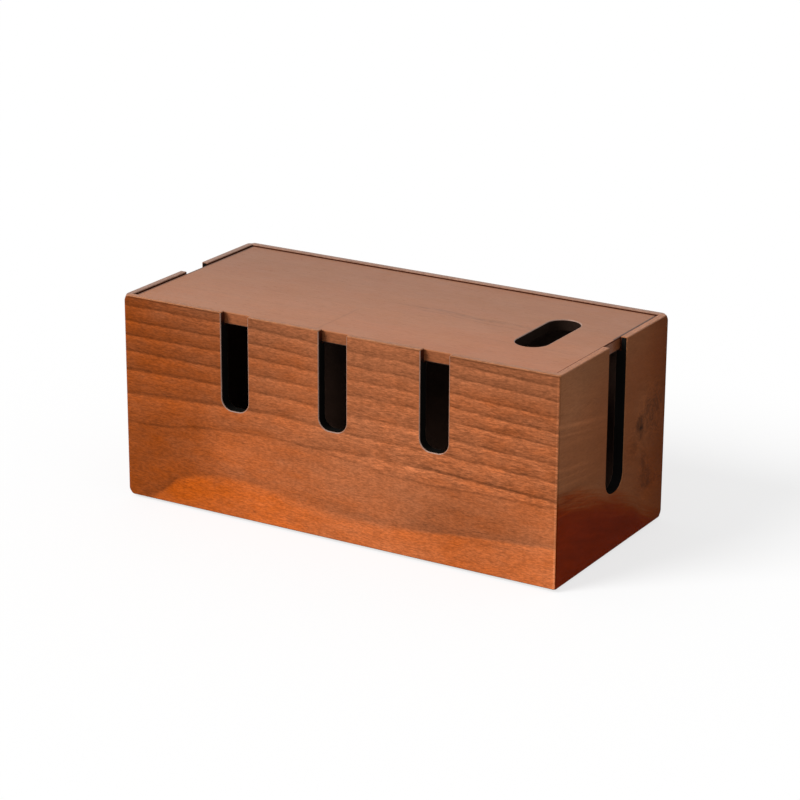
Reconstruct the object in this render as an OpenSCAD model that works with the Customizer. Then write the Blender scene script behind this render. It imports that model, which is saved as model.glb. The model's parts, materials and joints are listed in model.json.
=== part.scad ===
// Cable management box: a mitred walnut case with a lid that drops into its rim.
// A power strip lies inside, its leads leave by slots that are open to the rim.
// Millimetres, +Z up. The origin is under the middle of the box, on the surface
// that the feet stand on. The face with the row of cable slots looks along -Y.

/* [Case] */
// Outside length of the case
case_l = 330; // [280:1:420]
// Outside depth of the case
case_d = 153; // [125:1:200]
// Height of the four case boards
case_h = 142; // [125:1:180]
// Thickness of the case boards
wall_t = 8; // [6.5:0.5:12]
// Width of the rim that is left outside the lid rebate
rim_w = 4.8; // [3:0.2:6]

/* [Lid] */
// Thickness of the lid
lid_t = 8; // [5:0.5:12]
// Clearance between the lid's edge and the rim, all round
lid_gap = 0.8; // [0.4:0.1:1.4]
// Depth of the lid's face below the top of the rim
lid_recess = 1; // [0.5:0.5:3]

/* [Finger hole] */
// Width of the finger hole
hole_w = 23; // [16:1:30]
// Overall length of the finger hole, front to back
hole_l = 65; // [45:1:90]
// Distance from the right end of the case to the middle of the hole
hole_inset = 49; // [35:1:165]

/* [Front slots] */
// Number of cable slots along the front
slot_count = 3; // [1:1:4]
// Width of a front slot
slot_w = 21; // [12:1:30]
// Depth of a front slot below the rim
slot_h = 67; // [40:1:95]
// Radius of a front slot's bottom corners
slot_r = 8; // [2:0.5:10]
// Distance between the middles of neighbouring front slots
slot_pitch = 76; // [45:1:95]

/* [End slots] */
// Width of the slot in each end
end_slot_w = 25; // [14:0.5:32]
// Depth of an end slot below the rim
end_slot_h = 102; // [50:1:115]
// Radius of an end slot's bottom corners
end_slot_r = 11; // [2:0.5:11.5]
// Distance from the middle of an end board back to the middle of its slot
end_slot_back = 3; // [0:0.5:12]

/* [Bottom panel] */
// Thickness of the bottom panel
bottom_t = 6; // [4:0.5:9]
// How far the bottom panel laps under each case board
bottom_lap = 4; // [2:0.5:5.5]
// Glue clearance round the bottom panel
bottom_gap = 0.2; // [0.1:0.1:0.5]

/* [Corner splines] */
// Thickness of the loose spline in each mitre
spline_t = 2; // [1.5:0.1:3]
// Width of a spline across its mitre
spline_w = 7; // [5:0.5:8]
// Distance along the mitre from the inner corner to the middle of the spline
spline_in = 4; // [3:0.25:4.5]
// Wood left above and below the closed groove of a spline
spline_stop = 8; // [4:1:20]
// Glue clearance round a spline
spline_gap = 0.1; // [0.05:0.05:0.2]

/* [Feet] */
// Thickness of the rubber feet
foot_h = 2; // [1:0.5:4]
// Diameter of a foot
foot_d = 14; // [10:1:22]
// Distance from the outer faces of the case to the middle of a foot
foot_inset = 17; // [16:1:30]

/* [Arrises] */
// Radius of the case's upright corners and of the lid's corners
corner_r = 1.6; // [0.6:0.1:2]
// Width of the eased edge round the rim, the slots, the lid and the hole
ease = 0.6; // [0.3:0.1:0.9]

/* [Hidden] */

$fn = 64;

walnut = [0.56, 0.29, 0.17];
lid_brown = [0.66, 0.44, 0.35];
plywood = [0.74, 0.58, 0.40];
beech = [0.82, 0.68, 0.48];
rubber = [0.09, 0.09, 0.09];

// Heights above the surface that the box stands on
case_bottom = foot_h;
case_top = foot_h + case_h;
ledge_z = case_top - lid_recess - lid_t;
bottom_top = foot_h + bottom_t;

// Plan of the lid inside its rebate and of the bottom panel inside its own
lid_l = case_l - 2 * (rim_w + lid_gap);
lid_d = case_d - 2 * (rim_w + lid_gap);
bottom_l = case_l - 2 * (wall_t - bottom_lap + bottom_gap);
bottom_d = case_d - 2 * (wall_t - bottom_lap + bottom_gap);

// A spline runs between the two rebates, short of each by spline_stop
spline_low = bottom_top + spline_stop;
spline_high = ledge_z - spline_stop;

// Cutters reach this far past the face that they open on
over = 1;

// ---- Shared shapes ----

// Rectangle with rounded corners, centred
module rounded_plan(l, d, r) {
    square([l - 2 * r, d], center = true);
    square([l, d - 2 * r], center = true);
    for (x = [-1, 1], y = [-1, 1])
        translate([x * (l / 2 - r), y * (d / 2 - r)]) circle(r);
}

// Bar that takes an arris of width ease off an edge along X through the origin
module arris_bar(l) {
    rotate([45, 0, 0]) cube([l, ease * sqrt(2), ease * sqrt(2)], center = true);
}

// Cutter that eases the rim of a round hole of radius r in a face at z = 0,
// where the wood lies below
module arris_cone(r) {
    translate([0, 0, -ease]) cylinder(h = ease + over, r1 = r, r2 = r + ease + over);
}

// ---- Cable slots, drawn in a board whose outer face is y = 0 ----

// Slot outline from its bottom at z = 0 up to h, with rounded bottom corners
module slot_outline(w, h, r) {
    translate([-w / 2, r]) square([w, h - r]);
    translate([r - w / 2, 0]) square([w - 2 * r, h]);
    for (x = [-1, 1])
        translate([x * (w / 2 - r), r]) circle(r);
}

// Section of the cutter that eases an edge: x runs away from the opening's
// wall, y from the outer face into the wood
module arris_section() {
    polygon([[-over, -over], [ease + over, -over], [0, ease], [-over, ease]]);
}

// Slot through the board, with an eased edge on the outer face
module slot_cutter(w, h, r) {
    translate([0, wall_t + over, 0]) rotate([90, 0, 0])
        linear_extrude(wall_t + 2 * over) slot_outline(w, h + over, r);
    for (side = [0, 1]) mirror([side, 0, 0]) {
        translate([w / 2, 0, r]) linear_extrude(h + over - r) arris_section();
        translate([w / 2 - r, 0, r]) rotate([90, 0, 0]) rotate([0, 0, -90])
            rotate_extrude(angle = 90) translate([r, 0]) mirror([0, 1]) arris_section();
    }
    translate([r - w / 2, 0, 0]) rotate([90, 90, 90]) linear_extrude(w - 2 * r) arris_section();
}

// ---- Case boards ----

// Plan of a board whose outer face lies at y = -across / 2, mitred at both ends
module mitred_plan(run, across) {
    intersection() {
        rounded_plan(run, across, corner_r);
        polygon([
            [-run / 2, -across / 2],
            [run / 2, -across / 2],
            [run / 2 - wall_t, wall_t - across / 2],
            [wall_t - run / 2, wall_t - across / 2]
        ]);
    }
}

// Spline with its own clearance c, lying across the mitre at an inner corner
// of the case at the origin. side is 1 where the case's outer corner lies at
// +X -Y, and -1 where it lies at -X -Y
module spline_body(side, c) {
    rotate([0, 0, side * -45])
        translate([side * spline_in, 0, (spline_low + spline_high) / 2])
            cube([spline_t + 2 * c, spline_w + 2 * c, spline_high - spline_low + 2 * c], center = true);
}

// Board with the lid rebate, the bottom rebate, the spline grooves and its
// eased arrises. Its children are slot cutters in the outer face, on its top
module case_board(run, across) {
    difference() {
        translate([0, 0, case_bottom]) linear_extrude(case_h) mitred_plan(run, across);
        translate([-run / 2, rim_w - across / 2, ledge_z])
            cube([run, wall_t, case_top - ledge_z + over]);
        translate([-run / 2, wall_t - bottom_lap - across / 2, case_bottom - over])
            cube([run, wall_t, bottom_t + over]);
        for (side = [-1, 1])
            translate([side * (run / 2 - wall_t), wall_t - across / 2, 0])
                spline_body(side, spline_gap);
        for (z = [case_bottom, case_top])
            translate([0, -across / 2, z]) arris_bar(run);
        translate([0, rim_w - across / 2, case_top]) arris_bar(run);
        translate([0, -across / 2, case_top]) children();
    }
}

module front_panel() {
    color(walnut) case_board(case_l, case_d)
        for (i = [0 : slot_count - 1])
            translate([(i - (slot_count - 1) / 2) * slot_pitch, 0, -slot_h])
                slot_cutter(slot_w, slot_h, slot_r);
}

module back_panel() {
    color(walnut) rotate([0, 0, 180]) case_board(case_l, case_d);
}

// End board, on the right for side = 1 and on the left for side = -1
module end_panel(side) {
    color(walnut) rotate([0, 0, side * 90]) case_board(case_d, case_l)
        translate([side * end_slot_back, 0, -end_slot_h])
            slot_cutter(end_slot_w, end_slot_h, end_slot_r);
}

// Loose spline in the corner at x = end, y = side
module corner_spline(end, side) {
    color(beech) translate([end * (case_l / 2 - wall_t), side * (case_d / 2 - wall_t), 0])
        mirror([0, side > 0 ? 1 : 0, 0]) spline_body(end, 0);
}

// ---- Bottom, lid and feet ----

module bottom_panel() {
    color(plywood) translate([-bottom_l / 2, -bottom_d / 2, case_bottom])
        cube([bottom_l, bottom_d, bottom_t - bottom_gap]);
}

// Finger hole through the lid, its upper edge at z = 0
module finger_hole() {
    straight = hole_l - hole_w;
    translate([0, 0, -lid_t - over]) linear_extrude(lid_t + 2 * over) {
        square([hole_w, straight], center = true);
        for (y = [-1, 1]) translate([0, y * straight / 2]) circle(d = hole_w);
    }
    for (s = [-1, 1]) {
        translate([0, s * straight / 2, 0]) arris_cone(hole_w / 2);
        translate([s * hole_w / 2, 0, 0]) rotate([0, 0, 90]) arris_bar(straight);
    }
}

module lid() {
    color(lid_brown) translate([0, 0, ledge_z]) difference() {
        linear_extrude(lid_t) rounded_plan(lid_l, lid_d, corner_r);
        translate([case_l / 2 - hole_inset, 0, lid_t]) finger_hole();
        for (s = [-1, 1]) {
            translate([0, s * lid_d / 2, lid_t]) arris_bar(lid_l);
            translate([s * lid_l / 2, 0, lid_t]) rotate([0, 0, 90]) arris_bar(lid_d);
        }
    }
}

// Round rubber foot under the bottom panel, its lower edge eased
module foot(end, side) {
    r = foot_d / 2;
    color(rubber)
        translate([end * (case_l / 2 - foot_inset), side * (case_d / 2 - foot_inset), 0])
            rotate_extrude() polygon([[0, 0], [r - ease, 0], [r, ease], [r, foot_h], [0, foot_h]]);
}

front_panel();
back_panel();
end_panel(-1);  // left_end_panel
end_panel(1);  // right_end_panel
bottom_panel();
lid();
corner_spline(-1, -1);  // spline_front_left
corner_spline(1, -1);  // spline_front_right
corner_spline(-1, 1);  // spline_back_left
corner_spline(1, 1);  // spline_back_right
foot(-1, -1);  // foot_front_left
foot(1, -1);  // foot_front_right
foot(-1, 1);  // foot_back_left
foot(1, 1);  // foot_back_right
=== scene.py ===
"""Dresses the cable management box: mitred walnut boards, loose lid, bottom, splines, feet and stage.

The object stands on z = 0 with its origin under the middle of the box. The board with the row of
cable slots looks along -Y. Lengths are in metres, figures of the veneer are laid out in millimetres.
"""

import json
import math

import bmesh
import bpy
from bpy.props import (
    FloatProperty,
    FloatVectorProperty,
    IntProperty,
    PointerProperty,
)
from mathutils import Matrix, Vector

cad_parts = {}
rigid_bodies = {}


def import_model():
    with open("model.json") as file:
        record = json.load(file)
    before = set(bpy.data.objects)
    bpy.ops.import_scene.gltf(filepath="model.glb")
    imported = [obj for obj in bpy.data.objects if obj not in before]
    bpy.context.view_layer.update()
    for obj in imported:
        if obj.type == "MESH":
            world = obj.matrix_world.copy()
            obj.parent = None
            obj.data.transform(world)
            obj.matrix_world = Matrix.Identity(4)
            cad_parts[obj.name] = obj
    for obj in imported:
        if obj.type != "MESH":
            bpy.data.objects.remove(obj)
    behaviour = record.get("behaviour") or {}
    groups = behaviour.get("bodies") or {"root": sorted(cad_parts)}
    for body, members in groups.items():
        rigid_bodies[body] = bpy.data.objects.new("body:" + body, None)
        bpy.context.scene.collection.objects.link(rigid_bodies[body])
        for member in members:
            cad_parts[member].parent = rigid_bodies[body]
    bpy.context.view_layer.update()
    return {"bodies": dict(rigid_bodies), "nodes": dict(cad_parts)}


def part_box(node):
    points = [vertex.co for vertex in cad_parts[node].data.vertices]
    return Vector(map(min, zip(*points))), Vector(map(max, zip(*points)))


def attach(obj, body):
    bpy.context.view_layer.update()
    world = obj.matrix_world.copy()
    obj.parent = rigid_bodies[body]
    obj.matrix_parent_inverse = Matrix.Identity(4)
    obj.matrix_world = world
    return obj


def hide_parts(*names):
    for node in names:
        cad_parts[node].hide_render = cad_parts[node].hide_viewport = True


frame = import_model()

bl_info = {
    "name": "Cable Management Box",
    "version": (1, 0, 0),
    "blender": (4, 5, 0),
    "location": "View3D > Sidebar > Cable Box",
    "description": "Builds and finishes a walnut cable management box around its CAD frame",
    "category": "Object",
}

MM = 0.001

# Sizes that the frame gives
CASE_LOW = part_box("front_panel")[0].z
CASE_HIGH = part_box("front_panel")[1].z
CASE_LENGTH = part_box("right_end_panel")[1].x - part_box("left_end_panel")[0].x
CASE_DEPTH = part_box("back_panel")[1].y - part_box("front_panel")[0].y
LID_LOW, LID_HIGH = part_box("lid")
BOTTOM_LOW, BOTTOM_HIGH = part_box("bottom_panel")
FOOT_LOW, FOOT_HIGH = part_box("foot_front_left")
SPLINE_LOW, SPLINE_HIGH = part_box("spline_front_left")

# Names of the finishes
FRONT_VENEER = "walnut_front_veneer"
BACK_VENEER = "walnut_back_veneer"
RIGHT_VENEER = "walnut_right_veneer"
LEFT_VENEER = "walnut_left_veneer"
LID_VENEER = "walnut_lid_veneer"
LID_EDGE = "walnut_lid_edge"
LONG_EDGE = "walnut_edge_along_x"
CROSS_EDGE = "walnut_edge_along_y"
EASED_EDGE_AND_HIGHLIGHT = "walnut_eased_edge"
CUT_EDGE = "blackened_cut_edge"
HOLE_EDGE_WITH_PAINTED_LIGHT = "blackened_hole_edge"
INSIDE = "stained_inside"
SEAT_AND_GAP_SHADE = "stained_lid_seat"
CORE = "mitre_core"
PLYWOOD = "stained_plywood"
BEECH = "planed_beech"
RUBBER = "moulded_rubber"


# ---- Settings that a user would change ----


def length(name, description, default):
    return FloatProperty(
        name=name, description=description, default=default, min=0.0, subtype="DISTANCE", unit="LENGTH"
    )


def colour(name, description, default):
    return FloatVectorProperty(
        name=name, description=description, default=default, size=3, min=0.0, max=1.0, subtype="COLOR"
    )


def angle(name, description, degrees):
    return FloatProperty(
        name=name, description=description, default=math.radians(degrees), subtype="ANGLE", unit="ROTATION"
    )


class CableBoxBoards(bpy.types.PropertyGroup):
    """Sizes of the case boards and of their slots"""

    wall: length("Wall", "Thickness of the case boards", 8 * MM)
    rim: length("Rim", "Width of the rim outside the lid's seat", 4.8 * MM)
    lid_seat: length("Lid seat", "Depth of the ledge below the top of the rim", 9 * MM)
    bottom_lap: length("Bottom lap", "How far the bottom laps under each board", 4 * MM)
    bottom_seat: length("Bottom seat", "Height of the rebate for the bottom", 6 * MM)
    corner: length("Corner", "Radius of the upright corners", 1.6 * MM)
    tip: length("Tip", "How far the sanding of a tip of the case reaches", 4.5 * MM)
    crisp_tip: length("Crisp tip", "The same for the front right corner, which is sanded least", 1.8 * MM)
    ease: length("Eased edge", "Radius of the eased edges", 0.6 * MM)
    slot_count: IntProperty(name="Slots", description="Number of slots in the front", default=3, min=1)
    slot_pitch: length("Slot pitch", "Distance between neighbouring front slots", 76 * MM)
    slot_width: length("Slot width", "Width of a front slot", 21 * MM)
    slot_depth: length("Slot depth", "Depth of a front slot below the rim", 67 * MM)
    slot_radius: length("Slot radius", "Radius of a front slot's bottom corners", 8 * MM)
    end_width: length("End slot width", "Width of the slot in each end", 25 * MM)
    end_depth: length("End slot depth", "Depth of an end slot below the rim", 102 * MM)
    end_back: length("End slot offset", "Middle of an end board back to the middle of its slot", 3 * MM)
    end_radius: length("End slot radius", "Radius of an end slot's bottom corners", 11 * MM)


class CableBoxFittings(bpy.types.PropertyGroup):
    """Sizes of the lid's hole, the splines and the feet"""

    hole_width: length("Hole width", "Width of the finger hole", 23 * MM)
    hole_length: length("Hole length", "Overall length of the finger hole", 65 * MM)
    hole_inset: length("Hole inset", "Right end of the case to the middle of the hole", 49 * MM)
    spline_thickness: length("Spline thickness", "Thickness of a corner spline", 2 * MM)
    spline_width: length("Spline width", "Width of a spline across its mitre", 7 * MM)
    spline_in: length("Spline inset", "Inner corner to the middle of the spline", 4 * MM)
    spline_gap: length("Spline gap", "Glue clearance round a spline", 0.1 * MM)
    foot_edge: length("Foot edge", "Radius of a foot's lower edge", 0.7 * MM)
    foot_dish: length("Foot dish", "Depth of the shallow dish under a foot", 0.35 * MM)


class CableBoxColours(bpy.types.PropertyGroup):
    """Colours of the finishes"""

    walnut_brown: colour("Walnut brown", "Yellow side of the walnut's hue at full tone", (1.0, 0.185, 0.010))
    walnut_pink: colour("Walnut pink", "Red side of the walnut's hue at full tone", (1.0, 0.325, 0.130))
    walnut_grey: colour("Walnut grey", "Greyish side of the ends' hue at full tone", (1.0, 0.40, 0.175))
    walnut_red: colour("Walnut red", "Hue of the red wood on the ends at full tone", (1.0, 0.085, 0.002))
    # On the boards this pale colour also serves as a painted highlight along the arrises turned towards the
    # camera
    eased: colour("Eased edge", "Bare wood where an edge is eased", (0.34, 0.2, 0.15))
    cut: colour("Cut edge", "Black finish on the cut edges", (0.005, 0.0045, 0.004))
    # The hole's walls are painted lighter than the other black cut edges, as painted light on walls that face
    # the lamp
    hole: colour("Hole edge", "Black finish on the walls of the finger hole", (0.018, 0.010, 0.007))
    inside: colour("Inside", "Stain on the inside", (0.070, 0.036, 0.024))
    # This colour also serves as painted shade of the gap on the lid's top arris, and as painted bounce light
    # at the top of the slot cheeks
    seat: colour("Lid seat", "Red-brown stain of the ledge and the rim's inner wall", (0.06, 0.012, 0.004))
    warm_edge: colour("Rim's warm side", "Hue of the narrow edges where they are warm", (1.0, 0.37, 0.15))
    grey_edge: colour("Rim's grey side", "Hue of the narrow edges where they are grey", (1.0, 0.53, 0.36))
    plywood: colour("Plywood", "Stain on the bottom", (0.42, 0.25, 0.14))
    beech: colour("Beech", "Planed beech of the splines", (0.60, 0.42, 0.24))
    rubber: colour("Rubber", "Rubber of the feet", (0.03, 0.03, 0.03))


class CableBoxStage(bpy.types.PropertyGroup):
    """Camera, light and floor"""

    azimuth: angle("Azimuth", "Camera angle round the box from the front", 30.762)
    elevation: angle("Elevation", "Camera angle above the floor", 18.895)
    roll: angle("Roll", "Camera roll", 0.308)
    distance: length("Distance", "Camera to the point that it looks at", 1.85535)
    lens: FloatProperty(name="Lens", description="Focal length in millimetres", default=124.66)
    target: FloatVectorProperty(
        name="Target", description="Point that the camera looks at", default=(0.00534, 0.0, 0.07757)
    )
    key: FloatProperty(name="Key", description="Strength of the key light", default=2.9)
    key_from: FloatVectorProperty(
        name="Key from", description="Direction that the key comes from", default=(-0.45, -0.66, 0.60)
    )
    key_angle: angle("Key softness", "Angle that the key light fills", 28)
    fill: FloatProperty(name="Fill", description="Strength of the light from all round", default=0.45)
    floor_bounce: FloatProperty(
        name="Floor bounce", description="Share of the light that the floor gives back", default=0.35
    )
    shadow: FloatProperty(
        name="Shadow", description="How much a full shadow darkens the white floor", default=0.28
    )


# ---- Node trees ----


class Graph:
    """A node tree, with short calls for the nodes that the finishes and shapes are made of"""

    def __init__(self, tree):
        self.tree = tree

    def feed(self, socket, value):
        if isinstance(value, bpy.types.NodeSocket):
            self.tree.links.new(value, socket)
        elif value is not None:
            if hasattr(value, "__len__") and not isinstance(value, str):
                room = len(socket.default_value)
                value = (tuple(value) + (1.0,))[:room]
            socket.default_value = value

    def add(self, kind, inputs=None, **settings):
        node = self.tree.nodes.new(kind)
        for name, value in settings.items():
            setattr(node, name, value)
        for name, value in (inputs or {}).items():
            self.feed(node.inputs[name], value)
        return node

    def made(self, kind, inputs=None, **settings):
        """The first output of a new node"""
        return self.add(kind, inputs, **settings).outputs[0]

    def math(self, operation, *values):
        node = self.add("ShaderNodeMath", operation=operation)
        for socket, value in zip(node.inputs, values):
            self.feed(socket, value)
        return node.outputs[0]

    def sum(self, *values):
        total = values[0]
        for value in values[1:]:
            total = self.math("ADD", total, value)
        return total

    def product(self, *values):
        total = values[0]
        for value in values[1:]:
            total = self.math("MULTIPLY", total, value)
        return total

    def less(self, value, taken):
        return self.math("SUBTRACT", value, taken)

    def over(self, value, divisor):
        return self.math("DIVIDE", value, divisor)

    def size(self, value):
        return self.math("ABSOLUTE", value)

    def line(self, value, gain, base):
        """base plus gain times value"""
        return self.math("MULTIPLY_ADD", value, gain, base)

    def vector(self, operation, first, second=None, scale=None):
        node = self.add("ShaderNodeVectorMath", {0: first}, operation=operation)
        if second is not None:
            self.feed(node.inputs[1], second)
        if scale is not None:
            self.feed(node.inputs["Scale"], scale)
        return node.outputs["Value" if operation == "DOT_PRODUCT" else "Vector"]

    def split(self, vector):
        return self.add("ShaderNodeSeparateXYZ", {0: vector}).outputs

    def join(self, x=0.0, y=0.0, z=0.0):
        return self.add("ShaderNodeCombineXYZ", {0: x, 1: y, 2: z}).outputs[0]


class Shading(Graph):
    """A graph of shader nodes"""

    def smooth(self, value, low, high, start=0.0, end=1.0):
        """start below low, end above high, and a smooth step between them"""
        node = self.add("ShaderNodeMapRange", interpolation_type="SMOOTHSTEP")
        names = ("Value", "From Min", "From Max", "To Min", "To Max")
        for name, item in zip(names, (value, low, high, start, end)):
            self.feed(node.inputs[name], item)
        return node.outputs[0]

    def blend(self, factor, first, second):
        node = self.add("ShaderNodeMix", {0: factor, 2: first, 3: second}, data_type="FLOAT")
        return node.outputs[0]

    def blend_colour(self, factor, first, second, kind="MIX"):
        node = self.add("ShaderNodeMix", {0: factor, 6: first, 7: second}, data_type="RGBA", blend_type=kind)
        return node.outputs[2]

    def curve(self, value, points):
        """The smooth curve through points, whose x runs from 0 to 1"""
        node = self.add("ShaderNodeFloatCurve", {"Value": value})
        line = node.mapping.curves[0]
        while len(line.points) < len(points):
            line.points.new(0.5, 0.5)
        for point, place in zip(line.points, points):
            point.location = place
            point.handle_type = "AUTO"
        node.mapping.update()
        return node.outputs[0]

    def ramp(self, value, stops):
        """The straight lines between stops of (place, level)"""
        node = self.add("ShaderNodeValToRGB", {0: value})
        band = node.color_ramp
        while len(band.elements) < len(stops):
            band.elements.new(0.5)
        for element, (place, level) in zip(band.elements, stops):
            element.position = place
            element.color = (level, level, level, 1.0)
        return node.outputs[0]

    def noise(self, vector, size, detail=2.0, roughness=0.5, seed=0.0, distortion=0.0):
        """Noise from 0 to 1 whose grains are about size millimetres along x, y and z"""
        scaled = self.vector("DIVIDE", vector, size)
        node = self.add("ShaderNodeTexNoise", noise_dimensions="4D")
        for name, value in zip(
            ("Vector", "W", "Scale", "Detail", "Roughness", "Distortion"),
            (scaled, seed, 1.0, detail, roughness, distortion),
        ):
            self.feed(node.inputs[name], value)
        return node.outputs[0]

    def signed(self, value, reach):
        """A noise from 0 to 1 turned into one from -reach to reach"""
        return self.line(value, 2 * reach, -reach)


def node_group(name, kind, inputs, outputs, build):
    """The node group called name, built by build(graph, sockets in) -> values out, once"""
    tree = bpy.data.node_groups.get(name)
    if tree:
        return tree
    tree = bpy.data.node_groups.new(name, kind)
    for label, (socket, default) in inputs.items():
        made = tree.interface.new_socket(label, in_out="INPUT", socket_type="NodeSocket" + socket)
        if default is not None:
            made.default_value = default
    for label, socket in outputs.items():
        tree.interface.new_socket(label, in_out="OUTPUT", socket_type="NodeSocket" + socket)
    graph = Shading(tree) if kind == "ShaderNodeTree" else Graph(tree)
    entry = tree.nodes.new("NodeGroupInput")
    found = build(graph, {label: entry.outputs[label] for label in inputs})
    leave = tree.nodes.new("NodeGroupOutput")
    for label, value in found.items():
        graph.feed(leave.inputs[label], value)
    return tree


def place_group(graph, tree, **values):
    """tree placed in graph. A name's underscores stand for the blanks in a socket's name"""
    node = graph.add("ShaderNodeGroup", node_tree=tree)
    for name, value in values.items():
        graph.feed(node.inputs[name.replace("_", " ")], value)
    return node.outputs


# ---- Effects that several finishes share ----


def pores_group():
    """Open pores of walnut, short dark dashes along x, the fine fibre between them, and pale and
    dark flecks"""

    def build(g, s):
        flow = g.vector("ADD", s["Vector"], g.join(0.0, g.signed(g.noise(s["Vector"], (60, 14, 14), 1), 0.8)))
        coarse = g.noise(flow, (9.0, 0.42, 0.42), 2, 0.6, 3.1)
        fine = g.noise(flow, (4.5, 0.2, 0.2), 1, 0.5, 8.7)
        patch = g.noise(s["Vector"], (45, 9, 9), 2, 0.5, 5.5)
        limit = g.less(0.67, g.product(s["Density"], patch, 0.16))
        dashes = g.smooth(coarse, limit, g.sum(limit, 0.09))
        specks = g.smooth(fine, g.sum(limit, 0.02), g.sum(limit, 0.12))
        fibre = g.noise(flow, (22.0, 0.55, 0.55), 3, 0.65, 1.9)
        flecks = g.smooth(g.noise(flow, (3.0, 0.85, 0.85), 3, 0.66, 12.3), 0.34, 0.66)
        return {
            "Pores": g.math("MAXIMUM", dashes, g.product(specks, 0.6)),
            "Fibre": fibre,
            "Flecks": g.signed(flecks, 1.0),
        }

    inputs = {"Vector": ("Vector", None), "Density": ("Float", 1.0)}
    outputs = {"Pores": "Float", "Fibre": "Float", "Flecks": "Float"}
    return node_group("Walnut pores", "ShaderNodeTree", inputs, outputs, build)


# (share of a ring's width, level) of the wood across one ring
RING_FADE = (
    (0.0, 0.0), (0.035, 0.2), (0.10, 1.0), (0.19, 0.95),
    (0.36, 0.70), (0.66, 0.46), (0.88, 0.33), (0.955, 0.0),
)


def rings_group():
    """Growth rings from a ring number: each darkens slowly to a thin line and starts pale again"""

    def build(g, s):
        phase = g.math("FRACT", s["Ring"])
        fade = g.ramp(phase, RING_FADE)
        level = g.line(g.less(fade, 0.54), s["Strength"], 1.0)
        return {"Level": level}

    inputs = {"Ring": ("Float", 0.0), "Strength": ("Float", 0.35)}
    return node_group("Growth rings", "ShaderNodeTree", inputs, {"Level": "Float"}, build)


def curl_group():
    """Cross figure: soft pale and dark ripples that run across the grain"""

    def build(g, s):
        ripple = g.noise(s["Vector"], (1.5, 16, 16), 2, 0.55, 2.3)
        broad = g.noise(s["Vector"], (6.0, 30, 30), 2, 0.5, 6.1)
        level = g.sum(g.signed(ripple, 0.7), g.signed(broad, 0.6))
        return {"Level": g.line(level, s["Strength"], 1.0)}

    inputs = {"Vector": ("Vector", None), "Strength": ("Float", 0.05)}
    return node_group("Cross figure", "ShaderNodeTree", inputs, {"Level": "Float"}, build)


def tone_group():
    """Walnut's colour from its tone, how pink it is and its pores"""

    def build(g, s):
        hue = g.blend_colour(g.smooth(s["Pink"], -0.25, 1.25), s["Brown hue"], s["Pink hue"])
        plain = g.vector("SCALE", hue, scale=s["Tone"])
        shade = g.line(s["Pores"], -0.34, 1.0)
        return {"Colour": g.vector("SCALE", plain, scale=shade)}

    inputs = {
        "Tone": ("Float", 0.35),
        "Pink": ("Float", 0.5),
        "Pores": ("Float", 0.0),
        "Brown hue": ("Color", None),
        "Pink hue": ("Color", None),
    }
    return node_group("Walnut tone", "ShaderNodeTree", inputs, {"Colour": "Color"}, build)


def satin_group():
    """Satin oil finish: uneven gloss, faint marks of handling, and the height of the open grain"""

    def build(g, s):
        cloudy = g.noise(s["Vector"], (28, 22, 22), 3, 0.55, 4.4)
        rubbed = g.noise(s["Vector"], (9, 2.2, 2.2), 2, 0.5, 9.3)
        uneven = g.sum(g.signed(cloudy, 0.07), g.signed(rubbed, 0.04), g.product(s["Pores"], 0.16))
        height = g.sum(g.product(s["Fibre"], 0.35), g.product(s["Pores"], -1.0), g.product(cloudy, 0.5))
        return {"Roughness": g.sum(s["Gloss"], uneven), "Height": height}

    inputs = {
        "Vector": ("Vector", None),
        "Pores": ("Float", 0.0),
        "Fibre": ("Float", 0.5),
        "Gloss": ("Float", 0.42),
    }
    return node_group("Satin oil", "ShaderNodeTree", inputs, {"Roughness": "Float", "Height": "Float"}, build)


def wear_group():
    """Handling wear: a pale, broken rub along an edge, from 0 to 1"""

    def build(g, s):
        patches = g.noise(s["Vector"], (14, 14, 14), 3, 0.6, 7.7)
        nicks = g.noise(s["Vector"], (1.6, 1.6, 1.6), 2, 0.5, 2.9)
        return {"Wear": g.product(g.smooth(patches, 0.35, 0.7), g.smooth(nicks, 0.35, 0.65))}

    return node_group("Edge wear", "ShaderNodeTree", {"Vector": ("Vector", None)}, {"Wear": "Float"}, build)


# ---- Finishes ----


def new_material(name):
    """An empty material with its graph and its shader"""
    material = bpy.data.materials.new(name)
    material.use_nodes = True
    material.node_tree.nodes.clear()
    graph = Shading(material.node_tree)
    shader = graph.add("ShaderNodeBsdfPrincipled")
    leave = graph.add("ShaderNodeOutputMaterial")
    graph.feed(leave.inputs["Surface"], shader.outputs[0])
    return material, graph, shader


def set_surface(graph, shader, tint, roughness, height, relief, shine):
    """Sets a finish's colour, roughness, relief in millimetres and strength of shine"""
    bump = graph.add("ShaderNodeBump", {"Strength": 1.0, "Distance": relief * MM, "Height": height})
    graph.feed(shader.inputs["Base Color"], tint)
    graph.feed(shader.inputs["Roughness"], roughness)
    graph.feed(shader.inputs["Normal"], bump.outputs[0])
    shader.inputs["Specular IOR Level"].default_value = shine


def millimetres(graph, origin=(0, 0, 0), along=(1, 0, 0), up=(0, 1, 0), out=(0, 0, 1)):
    """Object coordinates as a vector in mm from origin, with x, y and z along the given directions"""
    place = graph.add("ShaderNodeTexCoord").outputs["Object"]
    moved = graph.vector("SUBTRACT", place, origin)
    scaled = graph.vector("SCALE", moved, scale=1 / MM)
    return graph.join(*(graph.vector("DOT_PRODUCT", scaled, axis) for axis in (along, up, out)))


# Tint of the shine of oiled walnut
OIL_TINT = (1.0, 0.55, 0.3, 1.0)


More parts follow.
